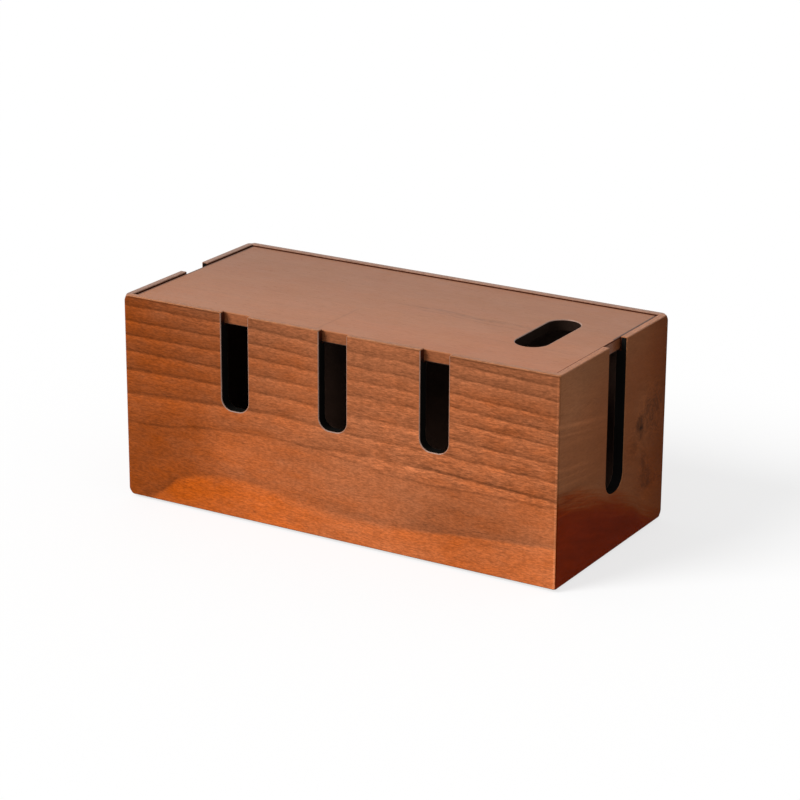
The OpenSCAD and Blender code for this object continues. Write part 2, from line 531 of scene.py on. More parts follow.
def finish_walnut(
    graph, shader, vector, tone, pink, hues, density=1.0, gloss=0.42, relief=0.03, shine=0.06, fleck=0.21
):
    """The shared end of every walnut finish: pores, colour, gloss and relief"""
    grain = place_group(graph, pores_group(), Vector=vector, Density=density)
    fibre = graph.line(graph.signed(grain["Fibre"], 1.0), 0.16, 1.0)
    flecks = graph.line(grain["Flecks"], fleck, 1.0)
    wood = place_group(
        graph,
        tone_group(),
        Tone=graph.product(tone, fibre, flecks),
        Pink=pink,
        Pores=grain["Pores"],
        Brown_hue=hues[0],
        Pink_hue=hues[1],
    )
    satin = place_group(
        graph, satin_group(), Vector=vector, Pores=grain["Pores"], Fibre=grain["Fibre"], Gloss=gloss
    )
    set_surface(graph, shader, wood["Colour"], satin["Roughness"], satin["Height"], relief, shine)
    shader.inputs["Specular Tint"].default_value = OIL_TINT


# Figure of the front veneer, in millimetres: x from the left end, depth down from the rim
FIGURE_LENGTH = 330.0
FIGURE_HEIGHT = 142.0
# Largest depth that a curve of depths can give, a little below the board's lower edge
DEEPEST = 160.0
# (x, depth) of the dark line, and of the heartwood's upper edge
DARK_LINE = (
    (0, 89), (35, 87.5), (55, 84), (100, 80.5), (140, 80.5),
    (175, 84), (220, 89), (275, 88), (330, 87.5),
)
HEART_EDGE = (
    (0, 150), (25, 137), (45, 122), (62, 117), (88, 114.5), (112, 116), (140, 120),
    (180, 123.5), (225, 122.5), (262, 119), (300, 116), (330, 114),
)
# (depth, ring number) at the left, under the middle and at the right
RINGS_LEFT = (
    (0, 1.35), (6.7, 2), (17.3, 3), (27.2, 4), (38.6, 5), (51, 6), (66.4, 7), (90, 7.95), (142, 10),
)
RINGS_MIDDLE = (
    (0, 1.05), (9.8, 2), (19.6, 3), (29, 4), (39.6, 5),
    (53.1, 6), (66.3, 7), (78.5, 8), (100, 9), (142, 12),
)
RINGS_RIGHT = (
    (0, 0.5), (6, 1), (15, 2), (26, 3), (35.6, 4), (45, 5),
    (57, 6), (68.5, 7), (81, 8), (95, 9), (142, 13),
)
# Largest ring number that a curve of rings can give
MOST_RINGS = 15.0
# The middle rings take over from the left ones between these x, and the right ones from them
TO_MIDDLE = (105, 185)
TO_RIGHT = (215, 262)
# (x, tone) above the dark line, between it and the heartwood, and in the heartwood
TONE_ABOVE = (
    (0, 0.275), (40, 0.275), (75, 0.295), (110, 0.335), (145, 0.375), (180, 0.370),
    (215, 0.385), (255, 0.355), (290, 0.350), (330, 0.340),
)
TONE_BETWEEN = (
    (0, 0.285), (40, 0.300), (62, 0.34), (95, 0.46), (150, 0.445), (200, 0.44),
    (235, 0.41), (262, 0.40), (295, 0.42), (330, 0.50),
)
TONE_HEART = (
    (0, 0.40), (45, 0.47), (90, 0.53), (112, 0.57), (145, 0.55), (190, 0.585),
    (225, 0.58), (255, 0.52), (290, 0.53), (330, 0.61),
)
# (x, how pink) at the middle of the depth
PINK_ALONG = (
    (0, 0.10), (20, 0.22), (50, 0.36), (80, 0.50), (110, 0.64), (145, 0.74),
    (180, 0.97), (215, 0.97), (255, 0.84), (290, 0.74), (330, 0.76),
)
# (share of the length, value): how strong the rings are, how soft the heartwood's edge is, how dark
# the dark line is, and how bright the strip right below the rim is
RING_STRENGTH = ((0, 0.60), (0.35, 0.56), (0.58, 0.40), (0.72, 0.48), (0.85, 0.58), (1, 0.60))
HEART_SOFTNESS = ((0, 0.3), (0.28, 0.3), (0.4, 0.6), (0.6, 0.55), (0.75, 0.2), (1, 0.2))
LINE_FORCE = ((0, 0.36), (0.15, 0.34), (0.3, 0.24), (0.5, 0.26), (0.66, 0.28), (1, 0.26))
RIM_SHADE = ((0, 0.62), (0.24, 0.62), (0.35, 0.86), (0.58, 0.86), (0.66, 0.64), (1, 0.6))
# Places that are pinker or browner, and paler or darker, than the curves make them:
# (x, depth, reach along x, reach in depth, amount)
PINKER = (
    (4, 72, 20, 50, 0.19), (48, 124, 34, 18, -0.12), (135, 116, 40, 14, -0.08),
    (150, 28, 28, 26, -0.12), (212, 32, 34, 28, -0.16), (312, 126, 30, 16, 0.20),
    (195, 112, 24, 14, -0.16),
)
PALER = (
    (268, 32, 20, 20, 0.11), (72, 90, 12, 12, 0.12), (48, 8, 40, 9, 0.10),
    (115, 128, 26, 12, 0.05), (54, 128, 14, 8, 0.06),
)


def follow(g, value, table, length, height=1.0):
    """The smooth curve through a table of (place, level), where places run to length and levels to
    height"""
    points = [(place / length, level / height) for place, level in table]
    return g.product(g.curve(g.over(value, length), points), height)


def offset(g, x, y, left, deep, wide, high):
    """How far (x, y) lies from (left, deep), along both axes in units of wide and high"""
    return g.over(g.less(x, left), wide), g.over(g.less(y, deep), high)


def soft_patches(g, x, y, patches):
    """The sum of soft round patches"""
    total = 0.0
    for left, deep, wide, high, amount in patches:
        dx, dy = offset(g, x, y, left, deep, wide, high)
        away = g.sum(g.product(dx, dx), g.product(dy, dy))
        total = g.sum(total, g.product(g.smooth(away, 1.8, 0.0), amount))
    return total


def ringed_wood(g, vector, x, y, depth, fall):
    """Tone above the dark line. The rings rise to the right at the left end, and fall at the right"""
    rise = g.product(g.less(x, 40.0), g.smooth(y, 40, 68), 0.055)
    number = follow(g, g.sum(depth, rise), RINGS_LEFT, FIGURE_HEIGHT, MOST_RINGS)
    for shift, table, takes_over in ((0.0, RINGS_MIDDLE, TO_MIDDLE), (fall, RINGS_RIGHT, TO_RIGHT)):
        here = follow(g, g.sum(depth, shift), table, FIGURE_HEIGHT, MOST_RINGS)
        number = g.blend(g.smooth(x, *takes_over), number, here)
    strength = g.curve(g.over(x, FIGURE_LENGTH), RING_STRENGTH)
    rings = place_group(g, rings_group(), Ring=number, Strength=strength)
    fine_zone = g.product(g.smooth(x, 150, 215), g.smooth(y, 20, 45))
    tight = g.smooth(g.noise(vector, (8, 1.1, 1.1), 3, 0.65, 6.6), 0.32, 0.68, -0.28, 0.28)
    busy = g.line(tight, g.line(fine_zone, 0.55, 0.45), 1.0)
    deeper_paler = g.smooth(y, -10, 90, 0.91, 1.17)
    return g.product(follow(g, x, TONE_ABOVE, FIGURE_LENGTH), rings["Level"], busy, deeper_paler)


def plain_wood(g, vector, x, below_line, below_heart):
    """Tone between the dark line and the heartwood, with a smudge towards the right"""
    smudge = g.product(g.smooth(x, 205, 250), g.smooth(x, 330, 285), g.smooth(below_line, 5, 18))
    streaks = g.signed(g.noise(vector, (40, 6, 6), 3, 0.6, 2.2), 0.22)
    heart_shade = g.product(g.smooth(below_heart, -9, -1), g.smooth(below_heart, 3, -1))
    return g.product(
        follow(g, x, TONE_BETWEEN, FIGURE_LENGTH),
        g.line(smudge, -0.12, 1.0),
        g.sum(streaks, 1.0),
        g.line(heart_shade, -0.14, 1.0),
    )


def heartwood(g, vector, x):
    """Tone of the heartwood, streaked along the grain"""
    streaks = g.signed(g.noise(vector, (60, 3.0, 3.0), 3, 0.6, 1.3), 0.22)
    mottle = g.signed(g.noise(vector, (9, 5, 5), 2, 0.6, 8.3), 0.22)
    return g.product(follow(g, x, TONE_HEART, FIGURE_LENGTH), g.sum(streaks, mottle, 1.0))


def dark_lines(g, vector, x, depth, below_line, fall):
    """Shade of the dark line, strongest at the left, and of the dashes above its right end"""
    thin = g.smooth(g.size(below_line), 1.3, 0.2)
    force = g.curve(g.over(x, FIGURE_LENGTH), LINE_FORCE)
    broken = g.smooth(g.noise(vector, (14, 3, 3), 2, 0.5, 3.3), 0.25, 0.6, 0.55, 1.0)
    from_dashes = g.size(g.less(g.sum(depth, fall), 81.0))
    dashes = g.product(g.smooth(from_dashes, 1.5, 0.3), g.smooth(x, 205, 250), 0.26)
    darkest = g.math("MAXIMUM", g.product(thin, force, broken), g.product(dashes, broken))
    return g.less(1.0, darkest)


def long_board_pink(g, vector, x, y, in_heart, corner_wear_and_highlight):
    """How pink the wood of a long board is"""
    outside_heart = g.product(g.smooth(y, 2, 28, 1.75, 1.05), g.smooth(y, 55, 95, 1.0, 0.9))
    along = g.product(follow(g, x, PINK_ALONG, FIGURE_LENGTH), g.blend(in_heart, outside_heart, 0.52))
    blush = g.signed(g.noise(vector, (22, 9, 9), 3, 0.6, 5.9), 0.45)
    # The rubbed corner with its painted highlight is pinker as well
    return g.sum(along, soft_patches(g, x, y, PINKER), blush, g.product(corner_wear_and_highlight, 0.4))


def figure_group():
    """Flat-sawn walnut figure of a long board: straight rings above a wavy dark line, plain wood
    below it, and orange heartwood along the bottom"""

    def build(g, s):
        vector = s["Vector"]
        x, y, _ = g.split(vector)
        place = g.over(x, FIGURE_LENGTH)
        drift = g.signed(g.noise(vector, (85, 30, 30), 2, 0.5, s["Seed"]), 0.8)
        jitter = g.signed(g.noise(vector, (11, 5, 5), 2, 0.6, s["Seed"]), 0.9)
        depth = g.sum(y, drift, jitter)
        fall = g.product(g.less(290.0, x), 0.045)

        steady = g.sum(y, g.signed(g.noise(vector, (18, 6, 6), 2, 0.55, 4.0), 1.1))
        below_line = g.less(steady, follow(g, x, DARK_LINE, FIGURE_LENGTH, FIGURE_HEIGHT))
        below_heart = g.less(steady, follow(g, x, HEART_EDGE, FIGURE_LENGTH, DEEPEST))
        softness = g.product(g.curve(place, HEART_SOFTNESS), 10.0)
        in_heart = g.smooth(g.over(below_heart, softness), -0.5, 1.0)
        under = g.smooth(below_line, -0.6, 0.6)

        above = ringed_wood(g, vector, x, y, depth, fall)
        plain = plain_wood(g, vector, x, below_line, below_heart)
        tone = g.blend(in_heart, g.blend(under, above, plain), heartwood(g, vector, x))
        lines = dark_lines(g, vector, x, depth, below_line, fall)
        below_rim = g.blend(g.smooth(y, 0.9, 2.2), g.curve(place, RIM_SHADE), 1.0)

        # Cross figure, which is strongest in the plain wood
        across_rings = g.smooth(x, 90, 260, 0.06, 0.11)
        strength = g.blend(in_heart, g.blend(under, across_rings, 0.13), 0.07)
        curl = place_group(g, curl_group(), Vector=vector, Strength=strength)

        # The upright corner at the right end is rubbed pale and carries a painted highlight
        corner_wear_and_highlight = g.smooth(x, FIGURE_LENGTH - 2.1, FIGURE_LENGTH - 1.3)
        paler = g.sum(1.0, soft_patches(g, x, y, PALER), g.product(corner_wear_and_highlight, 0.3))
        return {
            "Tone": g.product(tone, lines, curl["Level"], below_rim, paler),
            "Pink": long_board_pink(g, vector, x, y, in_heart, corner_wear_and_highlight),
        }

    inputs = {"Vector": ("Vector", None), "Seed": ("Float", 0.0)}
    outputs = {"Tone": "Float", "Pink": "Float"}
    return node_group("Long board figure", "ShaderNodeTree", inputs, outputs, build)


def straight_group():
    """Plain walnut with slow streaks along x"""

    def build(g, s):
        wide = g.signed(g.noise(s["Vector"], (120, 13, 13), 2, 0.5, s["Seed"]), 1.0)
        narrow = g.signed(g.noise(s["Vector"], (60, 2.6, 2.6), 3, 0.6, s["Seed"]), 1.0)
        level = g.sum(g.product(wide, 0.55), g.product(narrow, 0.45))
        curl = place_group(g, curl_group(), Vector=s["Vector"], Strength=0.03)
        streaked = g.line(level, s["Strength"], 1.0)
        return {"Tone": g.product(s["Tone"], streaked, curl["Level"])}

    inputs = {
        "Vector": ("Vector", None),
        "Tone": ("Float", 0.35),
        "Strength": ("Float", 0.2),
        "Seed": ("Float", 0.0),
    }
    return node_group("Straight figure", "ShaderNodeTree", inputs, {"Tone": "Float"}, build)


def long_board_veneer(name, colours, origin, along, seed):
    """Veneer of the front and the back, from the figure of a long board"""
    material, g, shader = new_material(name)
    vector = millimetres(g, origin, along, (0, 0, -1), (0, 1, 0))
    figure = place_group(g, figure_group(), Vector=vector, Seed=seed)
    hues = (colours.walnut_brown, colours.walnut_pink)
    finish_walnut(g, shader, vector, figure["Tone"], figure["Pink"], hues)
    return material


# Figure of an end, in millimetres: x from the front on the right end and from the back on the left
# one, depth down from the rim
END_WIDTH = 153.0
# (x, tone), (x, how pink) and (x, depth) of the red wood's upper edge
END_TONE = (
    (0, 0.345), (20, 0.34), (35, 0.33), (50, 0.31), (65, 0.295), (85, 0.285),
    (100, 0.280), (115, 0.268), (127, 0.248), (138, 0.215), (153, 0.175),
)
END_PINK = (
    (0, 0.90), (30, 0.90), (62, 0.76), (100, 0.58), (118, 0.50), (135, 0.32), (153, 0.20),
)
RED_EDGE = (
    (0, 88), (15, 91), (30, 96), (55, 103), (70, 108),
    (93, 115), (110, 121), (125, 130), (143, 139), (153, 144),
)
# Places that are pinker or browner, and paler or darker, than the curves make them, as on the front
END_PINKER = (
    (8, 14, 30, 26, 0.12), (75, 0, 90, 18, 0.16), (40, 62, 34, 30, -0.14), (132, 62, 26, 26, 0.22),
)
END_PALER = (
    (6, 12, 22, 24, 0.10), (28, 30, 24, 16, 0.09), (142, 122, 22, 18, 0.16),
    (10, 86, 14, 7, -0.10), (122, 50, 12, 9, 0.13),
)
# Slanting streaks: (depth at x = 0, fall along x, half width, gain, end)
END_STREAKS = (
    (34.0, 0.18, 2.6, 0.34, 75), (40.0, 0.17, 1.4, 0.22, 72), (46.0, 0.15, 3.4, 0.12, 60),
    (62.5, 0.15, 2.4, 0.26, 62), (68.0, 0.13, 1.2, 0.20, 58), (73.5, 0.11, 1.4, 0.18, 66),
    (79.0, 0.08, 3.2, -0.16, 62), (85.5, 0.07, 1.1, -0.18, 60), (88.5, 0.06, 0.9, 0.16, 60),
    (93.5, 0.05, 1.2, 0.24, 66), (109.0, 0.10, 1.0, 0.20, 40),
)
# Dark smudges of the knots: (x, depth, half width, half height, shade)
RIGHT_KNOTS = (
    (114.5, 65, 5.5, 5.0, -0.50), (117.0, 72, 3.0, 5.0, -0.36), (133, 62, 11, 12, -0.22),
    (107, 80, 6.0, 5.0, -0.22), (125, 107, 6.5, 8.5, -0.28), (134, 111, 7.0, 3.0, -0.18),
    (121, 92, 3.5, 7.0, -0.22),
)
LEFT_KNOTS = ((38, 96, 5.5, 6.0, -0.42), (46, 104, 11.0, 8.0, -0.18), (30, 86, 5.0, 5.0, -0.18))
# A knot wider than this has swirls round it
SWIRL_WIDTH = 10


def knot_marks(g, x, y, knots, warp):
    """The knots' shade, how near they are from 0 to 1, and the swirls round a wide one"""
    smudge, near, swirl = 1.0, 0.0, 0.0
    for left, deep, wide, high, shade in knots:
        dx, dy = offset(g, x, y, left, deep, wide, high)
        round_away = g.math("SQRT", g.sum(g.product(dx, dx), g.product(dy, dy)))
        away = g.sum(round_away, g.product(warp, 1.1))
        smudge = g.line(g.smooth(away, 1.25, 0.45), shade, smudge)
        near = g.math("MAXIMUM", near, g.smooth(away, 3.2, 0.6))
        if wide > SWIRL_WIDTH:
            waves = g.math("SINE", g.product(away, 21.0))
            swirl = g.product(waves, g.smooth(away, 2.0, 0.4), 0.18)
    return smudge, near, swirl


def slanting_streaks(g, vector, x, y, sway):
    """Broken pale and dark streaks near x = 0"""
    streaks = 0.0
    broken = g.smooth(g.noise(vector, (26, 3, 3), 3, 0.6, 2.0), 0.25, 0.55, 0.35, 1.0)
    for start, drop, wide, gain, end in END_STREAKS:
        away = g.size(g.sum(y, g.product(sway, 0.3), g.line(x, -drop, -start)))
        reach = g.smooth(x, end, 0.35 * end)
        streaks = g.sum(streaks, g.product(g.smooth(away, wide, 0.0), reach, gain))
    return g.product(streaks, broken)


def end_veneer(name, colours, origin, along, knots, redness, seed):
    """Veneer of an end: slanting pale streaks, red wood low down and swirls round smudged knots.
    redness is how red the red wood is, up to 1"""
    material, g, shader = new_material(name)
    vector = millimetres(g, origin, along, (0, 0, -1), (1, 0, 0))
    x, y, _ = g.split(vector)
    sway = g.signed(g.noise(vector, (60, 25, 25), 2, 0.5, seed), 3.0)
    red_edge = follow(g, x, RED_EDGE, END_WIDTH, DEEPEST)

    # The grain runs along the edge of the red wood low down, along the streaks high up and round knots
    warp = g.signed(g.noise(vector, (15, 15, 15), 3, 0.6, g.sum(seed, 4.0)), 1.0)
    smudge, near, swirl = knot_marks(g, x, y, knots, warp)
    slope = g.blend(g.smooth(y, 40, 95), g.product(x, 0.2), g.less(red_edge, RED_EDGE[0][1] - 1.0))
    bent = g.sum(y, g.product(slope, -1.0), sway, g.product(near, warp, 13.0))
    flow = g.join(x, bent, 0.0)
    base = place_group(g, straight_group(), Vector=flow, Tone=1.0, Strength=0.26, Seed=seed)["Tone"]
    whorls = g.product(near, g.signed(g.noise(flow, (7, 1.2, 1.2), 3, 0.65, seed), 0.9))

    # Red wood below its ragged edge, blotched and deeper than the rest
    rough = g.signed(g.noise(flow, (60, 3, 3), 3, 0.6, 3.0), 12.0)
    wavy = g.signed(g.noise(flow, (50, 9, 9)), 9.0)
    below_edge = g.sum(g.less(g.sum(y, sway), red_edge), rough, wavy)
    red = g.smooth(below_edge, g.smooth(x, 60, 115, -16.0, -9.0), g.smooth(x, 0, 100, 11.0, 14.0))
    hot = g.product(red, redness)
    blotches = g.product(red, g.signed(g.noise(flow, (40, 6, 6), 3, 0.6, 9.0), 1.0))
    deeper = g.line(red, g.smooth(x, 0, 130, -0.36, -0.22), 1.0)
    red_shade = g.product(g.line(blotches, 0.34, 1.0), deeper, g.smooth(y, 126, 140, 1.0, 1.14))

    # Painted shade on the rounded upright corners at both ends
    corner_painted_shade = g.sum(g.smooth(x, 1.0, 2.0, -0.2, 0.0), g.smooth(x, 151.2, 152.4, 0.0, -0.4))
    streaks = slanting_streaks(g, vector, x, y, sway)
    paler = g.sum(1.0, streaks, soft_patches(g, x, y, END_PALER), corner_painted_shade)
    tone = g.product(
        base, follow(g, x, END_TONE, END_WIDTH), paler, smudge, g.sum(1.0, swirl, whorls), red_shade
    )
    pink = g.sum(
        follow(g, x, END_PINK, END_WIDTH),
        g.product(hot, -1.5),
        g.product(near, -0.12),
        soft_patches(g, x, y, END_PINKER),
    )
    brown = g.blend_colour(hot, (*colours.walnut_brown, 1.0), (*colours.walnut_red, 1.0))
    hues = (brown, colours.walnut_grey)
    finish_walnut(g, shader, vector, tone, pink, hues, density=0.7, shine=0.008, fleck=0.07)
    return material


# Faint dark streaks of the lid: (depth from the back at the left, fall along x, half width, start,
# end, force)
LID_STREAKS = (
    (55.0, 0.055, 3.2, 170, 270, 0.28), (60.5, 0.055, 1.6, 185, 262, 0.20), (97.0, 0.02, 1.8, 262, 315, 0.20),
    (24.0, 0.01, 2.0, 40, 190, 0.07), (108.0, -0.01, 2.4, 20, 120, 0.08), (84.0, 0.0, 1.4, 60, 170, 0.07),
)


def lid_veneer(colours):
    """Smooth satin veneer of the lid with a few faint dark streaks, and painted light and shade"""
    material, g, shader = new_material(LID_VENEER)
    vector = millimetres(g, (LID_LOW.x, LID_HIGH.y, 0.0), (1, 0, 0), (0, -1, 0), (0, 0, 1))
    x, y, _ = g.split(vector)
    base = place_group(g, straight_group(), Vector=vector, Tone=0.31, Strength=0.13, Seed=3.3)["Tone"]
    # Painted light: the lid is painted brighter towards the front and a little towards the right
    painted_light = g.product(g.smooth(y, 20, 145, 0.93, 1.24), g.smooth(x, 0, 220, 0.94, 1.0))
    path = g.sum(y, g.signed(g.noise(vector, (35, 12, 12), 2, 0.5, 1.1), 5.0))
    broken = g.smooth(g.noise(vector, (7, 1.9, 1.9), 3, 0.6, 2.0), 0.35, 0.62)
    marks = 0.0
    for depth, drop, wide, start, end, force in LID_STREAKS:
        away = g.size(g.less(path, g.line(x, drop, depth)))
        reach = g.product(g.smooth(x, start - 25, start + 15), g.smooth(x, end + 25, end - 15))
        marks = g.sum(marks, g.product(g.smooth(away, wide, 0.2), reach, broken, force))
    across = g.size(g.less(x, g.line(g.noise(vector, (9, 9, 9)), 3.0, 142.5)))
    marks = g.sum(marks, g.product(g.smooth(across, 1.6, 0.2), g.smooth(y, 82, 100), 0.13))

    # Painted shade of the gap along the back and the left, and along the right as far as the end slot
    right = g.less(g.smooth(y, 62, 66, (LID_HIGH.x - LID_LOW.x) / MM, 400.0), x)
    joint = g.math("MINIMUM", y, g.math("MINIMUM", g.less(x, 0.8), right))
    gap_painted_shade = g.product(g.smooth(joint, 0.5, 1.5, 0.4, 1.0), g.smooth(right, 1.4, 2.1, 0.3, 1.0))
    tone = g.product(base, painted_light, g.less(1.0, marks), gap_painted_shade)
    warm = g.product(g.smooth(y, 60, 140), g.smooth(x, 60, 240), -0.35)
    pink = g.sum(0.66, warm, g.signed(g.noise(vector, (40, 14, 14), 3, 0.6, 7.2), 0.5))
    hues = (colours.walnut_pink, colours.walnut_grey)
    finish_walnut(g, shader, vector, tone, pink, hues, density=0.45, relief=0.012, shine=0.25, fleck=0.045)
    return material


def edge_veneer(name, hues, along, seed, grey_side=None):
    """Long grain on the narrow edges of the boards and the lid, greyer towards grey_side"""
    material, g, shader = new_material(name)
    across = (0, 1, 0) if along[0] else (1, 0, 0)
    vector = millimetres(g, (0, 0, 0), along, across, (0, 0, 1))
    pink, tone = 1.0, 0.29
    # Painted shade: the lid's edge is darker at its right end, which is turned away from the light
    if name == LID_EDGE:
        tone = g.smooth(g.split(vector)[0], 150, 158, 0.29, 0.21)
    if grey_side:
        far = g.smooth(g.vector("DOT_PRODUCT", vector, grey_side), -70, 90)
        pink, tone = g.line(far, 1.2, -0.1), g.line(far, -0.06, 0.34)
    tone = place_group(g, straight_group(), Vector=vector, Tone=tone, Strength=0.34, Seed=seed)["Tone"]
    finish_walnut(g, shader, vector, tone, pink, hues, density=0.8, shine=0.25)
    return material


def eased_edge(colours):
    """Thin pale line where an edge is eased through the finish, rubbed paler in places. On the boards
    it is also a painted highlight on the arrises turned towards the camera
    """
    material, g, shader = new_material(EASED_EDGE_AND_HIGHLIGHT)
    vector = millimetres(g)
    wear = place_group(g, wear_group(), Vector=vector)["Wear"]
    grain = place_group(g, pores_group(), Vector=vector, Density=0.6)
    bare = g.vector("SCALE", tuple(colours.eased), scale=g.line(wear, 0.5, 0.85))
    shade = g.line(grain["Pores"], -0.3, 1.0)
    tint = g.vector("SCALE", bare, scale=shade)
    set_surface(g, shader, tint, g.line(wear, 0.15, 0.42), grain["Fibre"], 0.02, 0.3)
    return material


def dark_finish(name, tint, vary, gloss, relief, shine, warm=None):
    """A dark paint or stain through which saw marks and grain still show. Just below the rim of the
    long boards it takes the warm tint, if one is given, as painted bounce light from the lid's edge"""
    material, g, shader = new_material(name)
    vector = millimetres(g)
    grain = place_group(g, pores_group(), Vector=vector, Density=0.8)
    wear = place_group(g, wear_group(), Vector=vector)["Wear"]
    cloud = g.noise(vector, (18, 18, 6), 3, 0.55, 2.6)
    level = g.sum(1.0, g.signed(cloud, vary), g.product(grain["Pores"], -0.3), g.product(wear, 0.25))
    # Painted bounce light: the warm tint at the top of the long boards' slot cheeks
    if warm:
        along, _, height = g.split(vector)
        high = g.smooth(height, CASE_HIGH / MM - 9, CASE_HIGH / MM - 4)
        high = g.product(high, g.smooth(g.size(along), 150, 140))
        tint = g.blend_colour(high, (*tint, 1.0), (*warm, 1.0))
    stained = g.vector("SCALE", tint, scale=level)
    satin = place_group(
        g, satin_group(), Vector=vector, Pores=grain["Pores"], Fibre=grain["Fibre"], Gloss=gloss
    )
    set_surface(g, shader, stained, satin["Roughness"], satin["Height"], relief, shine)
    return material


# Thickness of two plies of the plywood, in millimetres
PLY_PAIR = 2.4


def pale_wood(name, tint, along, size):
    """Plain pale wood: plywood's face and edge, or beech with its small flecks"""
    material, g, shader = new_material(name)
    sides = ((1, 0, 0), (0, 1, 0)) if along[2] else ((0, 1, 0), (0, 0, 1))
    vector = millimetres(g, (0, 0, 0), along, *sides)
    streak = g.noise(vector, size, 3, 0.6, 1.7)
    fleck = g.smooth(g.noise(vector, (2.2, 0.5, 0.5), 2, 0.5, 5.2), 0.6, 0.75)
    plies = g.math("SINE", g.product(g.split(vector)[2], math.tau / PLY_PAIR))
    level = g.sum(1.0, g.signed(streak, 0.30), g.product(fleck, -0.18), g.product(plies, 0.05))
    wood = g.vector("SCALE", tuple(tint), scale=level)
    set_surface(g, shader, wood, g.line(streak, 0.2, 0.5), g.sum(streak, fleck), 0.03, 0.3)
    return material


def moulded_rubber(colours):
    """Matt rubber with a fine moulded grain and dust in it"""
    material, g, shader = new_material(RUBBER)
    vector = millimetres(g)
    grain = g.noise(vector, (0.25, 0.25, 0.25), 2, 0.5, 1.0)
    dust = g.smooth(g.noise(vector, (4, 4, 4), 3, 0.6, 3.0), 0.5, 0.8)
    level = g.sum(1.0, g.signed(grain, 0.15), g.product(dust, 0.9))
    dusty = g.vector("SCALE", tuple(colours.rubber), scale=level)
    set_surface(g, shader, dusty, g.line(dust, 0.2, 0.62), grain, 0.03, 0.3)
    return material


class CABLEBOX_OT_finishes(bpy.types.Operator):
    """Makes every finish of the box"""

    bl_idname = "cablebox.finishes"
    bl_label = "Make Finishes"

    def execute(self, context):
        colours = context.scene.cable_box_colours
        half_length, half_depth = CASE_LENGTH / 2, CASE_DEPTH / 2
        long_board_veneer(FRONT_VENEER, colours, (-half_length, 0, CASE_HIGH), (1, 0, 0), 0.0)
        long_board_veneer(BACK_VENEER, colours, (half_length, 0, CASE_HIGH), (-1, 0, 0), 21.0)
        end_veneer(RIGHT_VENEER, colours, (0, -half_depth, CASE_HIGH), (0, 1, 0), RIGHT_KNOTS, 1.0, 1.5)
        end_veneer(LEFT_VENEER, colours, (0, half_depth, CASE_HIGH), (0, -1, 0), LEFT_KNOTS, 0.4, 14.5)
        lid_veneer(colours)
        grain = (colours.warm_edge, colours.grey_edge)
        edge_veneer(LONG_EDGE, grain, (1, 0, 0), 2.0, (0, 1, 0))
        edge_veneer(CROSS_EDGE, grain, (0, 1, 0), 6.0, (0, -1, 0))
        edge_veneer(LID_EDGE, (colours.walnut_brown, colours.walnut_pink), (1, 0, 0), 9.0)
        eased_edge(colours)
        cut, seat = tuple(colours.cut), tuple(colours.seat)
        # The black cut edges take the seat's colour just below the rim as painted bounce light
        dark_finish(CUT_EDGE, cut, 0.3, 0.7, 0.03, 0.04, warm=seat)
        dark_finish(HOLE_EDGE_WITH_PAINTED_LIGHT, tuple(colours.hole), 0.3, 0.7, 0.03, 0.04)
        dark_finish(INSIDE, tuple(colours.inside), 0.25, 0.5, 0.04, 0.2)
        dark_finish(SEAT_AND_GAP_SHADE, seat, 0.2, 0.6, 0.03, 0.04)
        pale_wood(CORE, colours.plywood, (0, 0, 1), (30, 1.5, 1.5))
        pale_wood(PLYWOOD, colours.plywood, (1, 0, 0), (70, 3, 3))
        pale_wood(BEECH, colours.beech, (0, 0, 1), (40, 1.5, 1.5))
        moulded_rubber(colours)
        return {"FINISHED"}


# ---- How fine the shapes are ----

# Points nearer than MERGE are one, and a face nearer than ON_PLANE to a plane lies on it
MERGE = 1e-6
ON_PLANE = 1e-5
# How much less than half its width the finger hole's corner radius is, so that no edge between two
# corners has zero length
RADIUS_SPARE = 1e-5
# Points round a slot's bottom corner, and faces across an upright corner and an eased edge
FILLET_STEPS = 24
CORNER_STEPS = 12
EASE_STEPS = 3
# Edges that turn more than ARRIS_ANGLE are eased, those over SHARP_ANGLE are shaded sharp, and
# those under FLAT_ANGLE are taken out
ARRIS_ANGLE = math.radians(40)
SHARP_ANGLE = math.radians(48)
FLAT_ANGLE = math.radians(0.5)
# How much large faces count for the normals along their edges, where 50 is even
FLAT_WEIGHT = 60
# Width of the small eased edges of the bottom, the splines and the top of the feet
BOTTOM_EASE = 0.4 * MM
SPLINE_EASE = 0.25 * MM
FOOT_EASE = 0.3 * MM


# ---- Shapes that repeat, made with geometry nodes ----


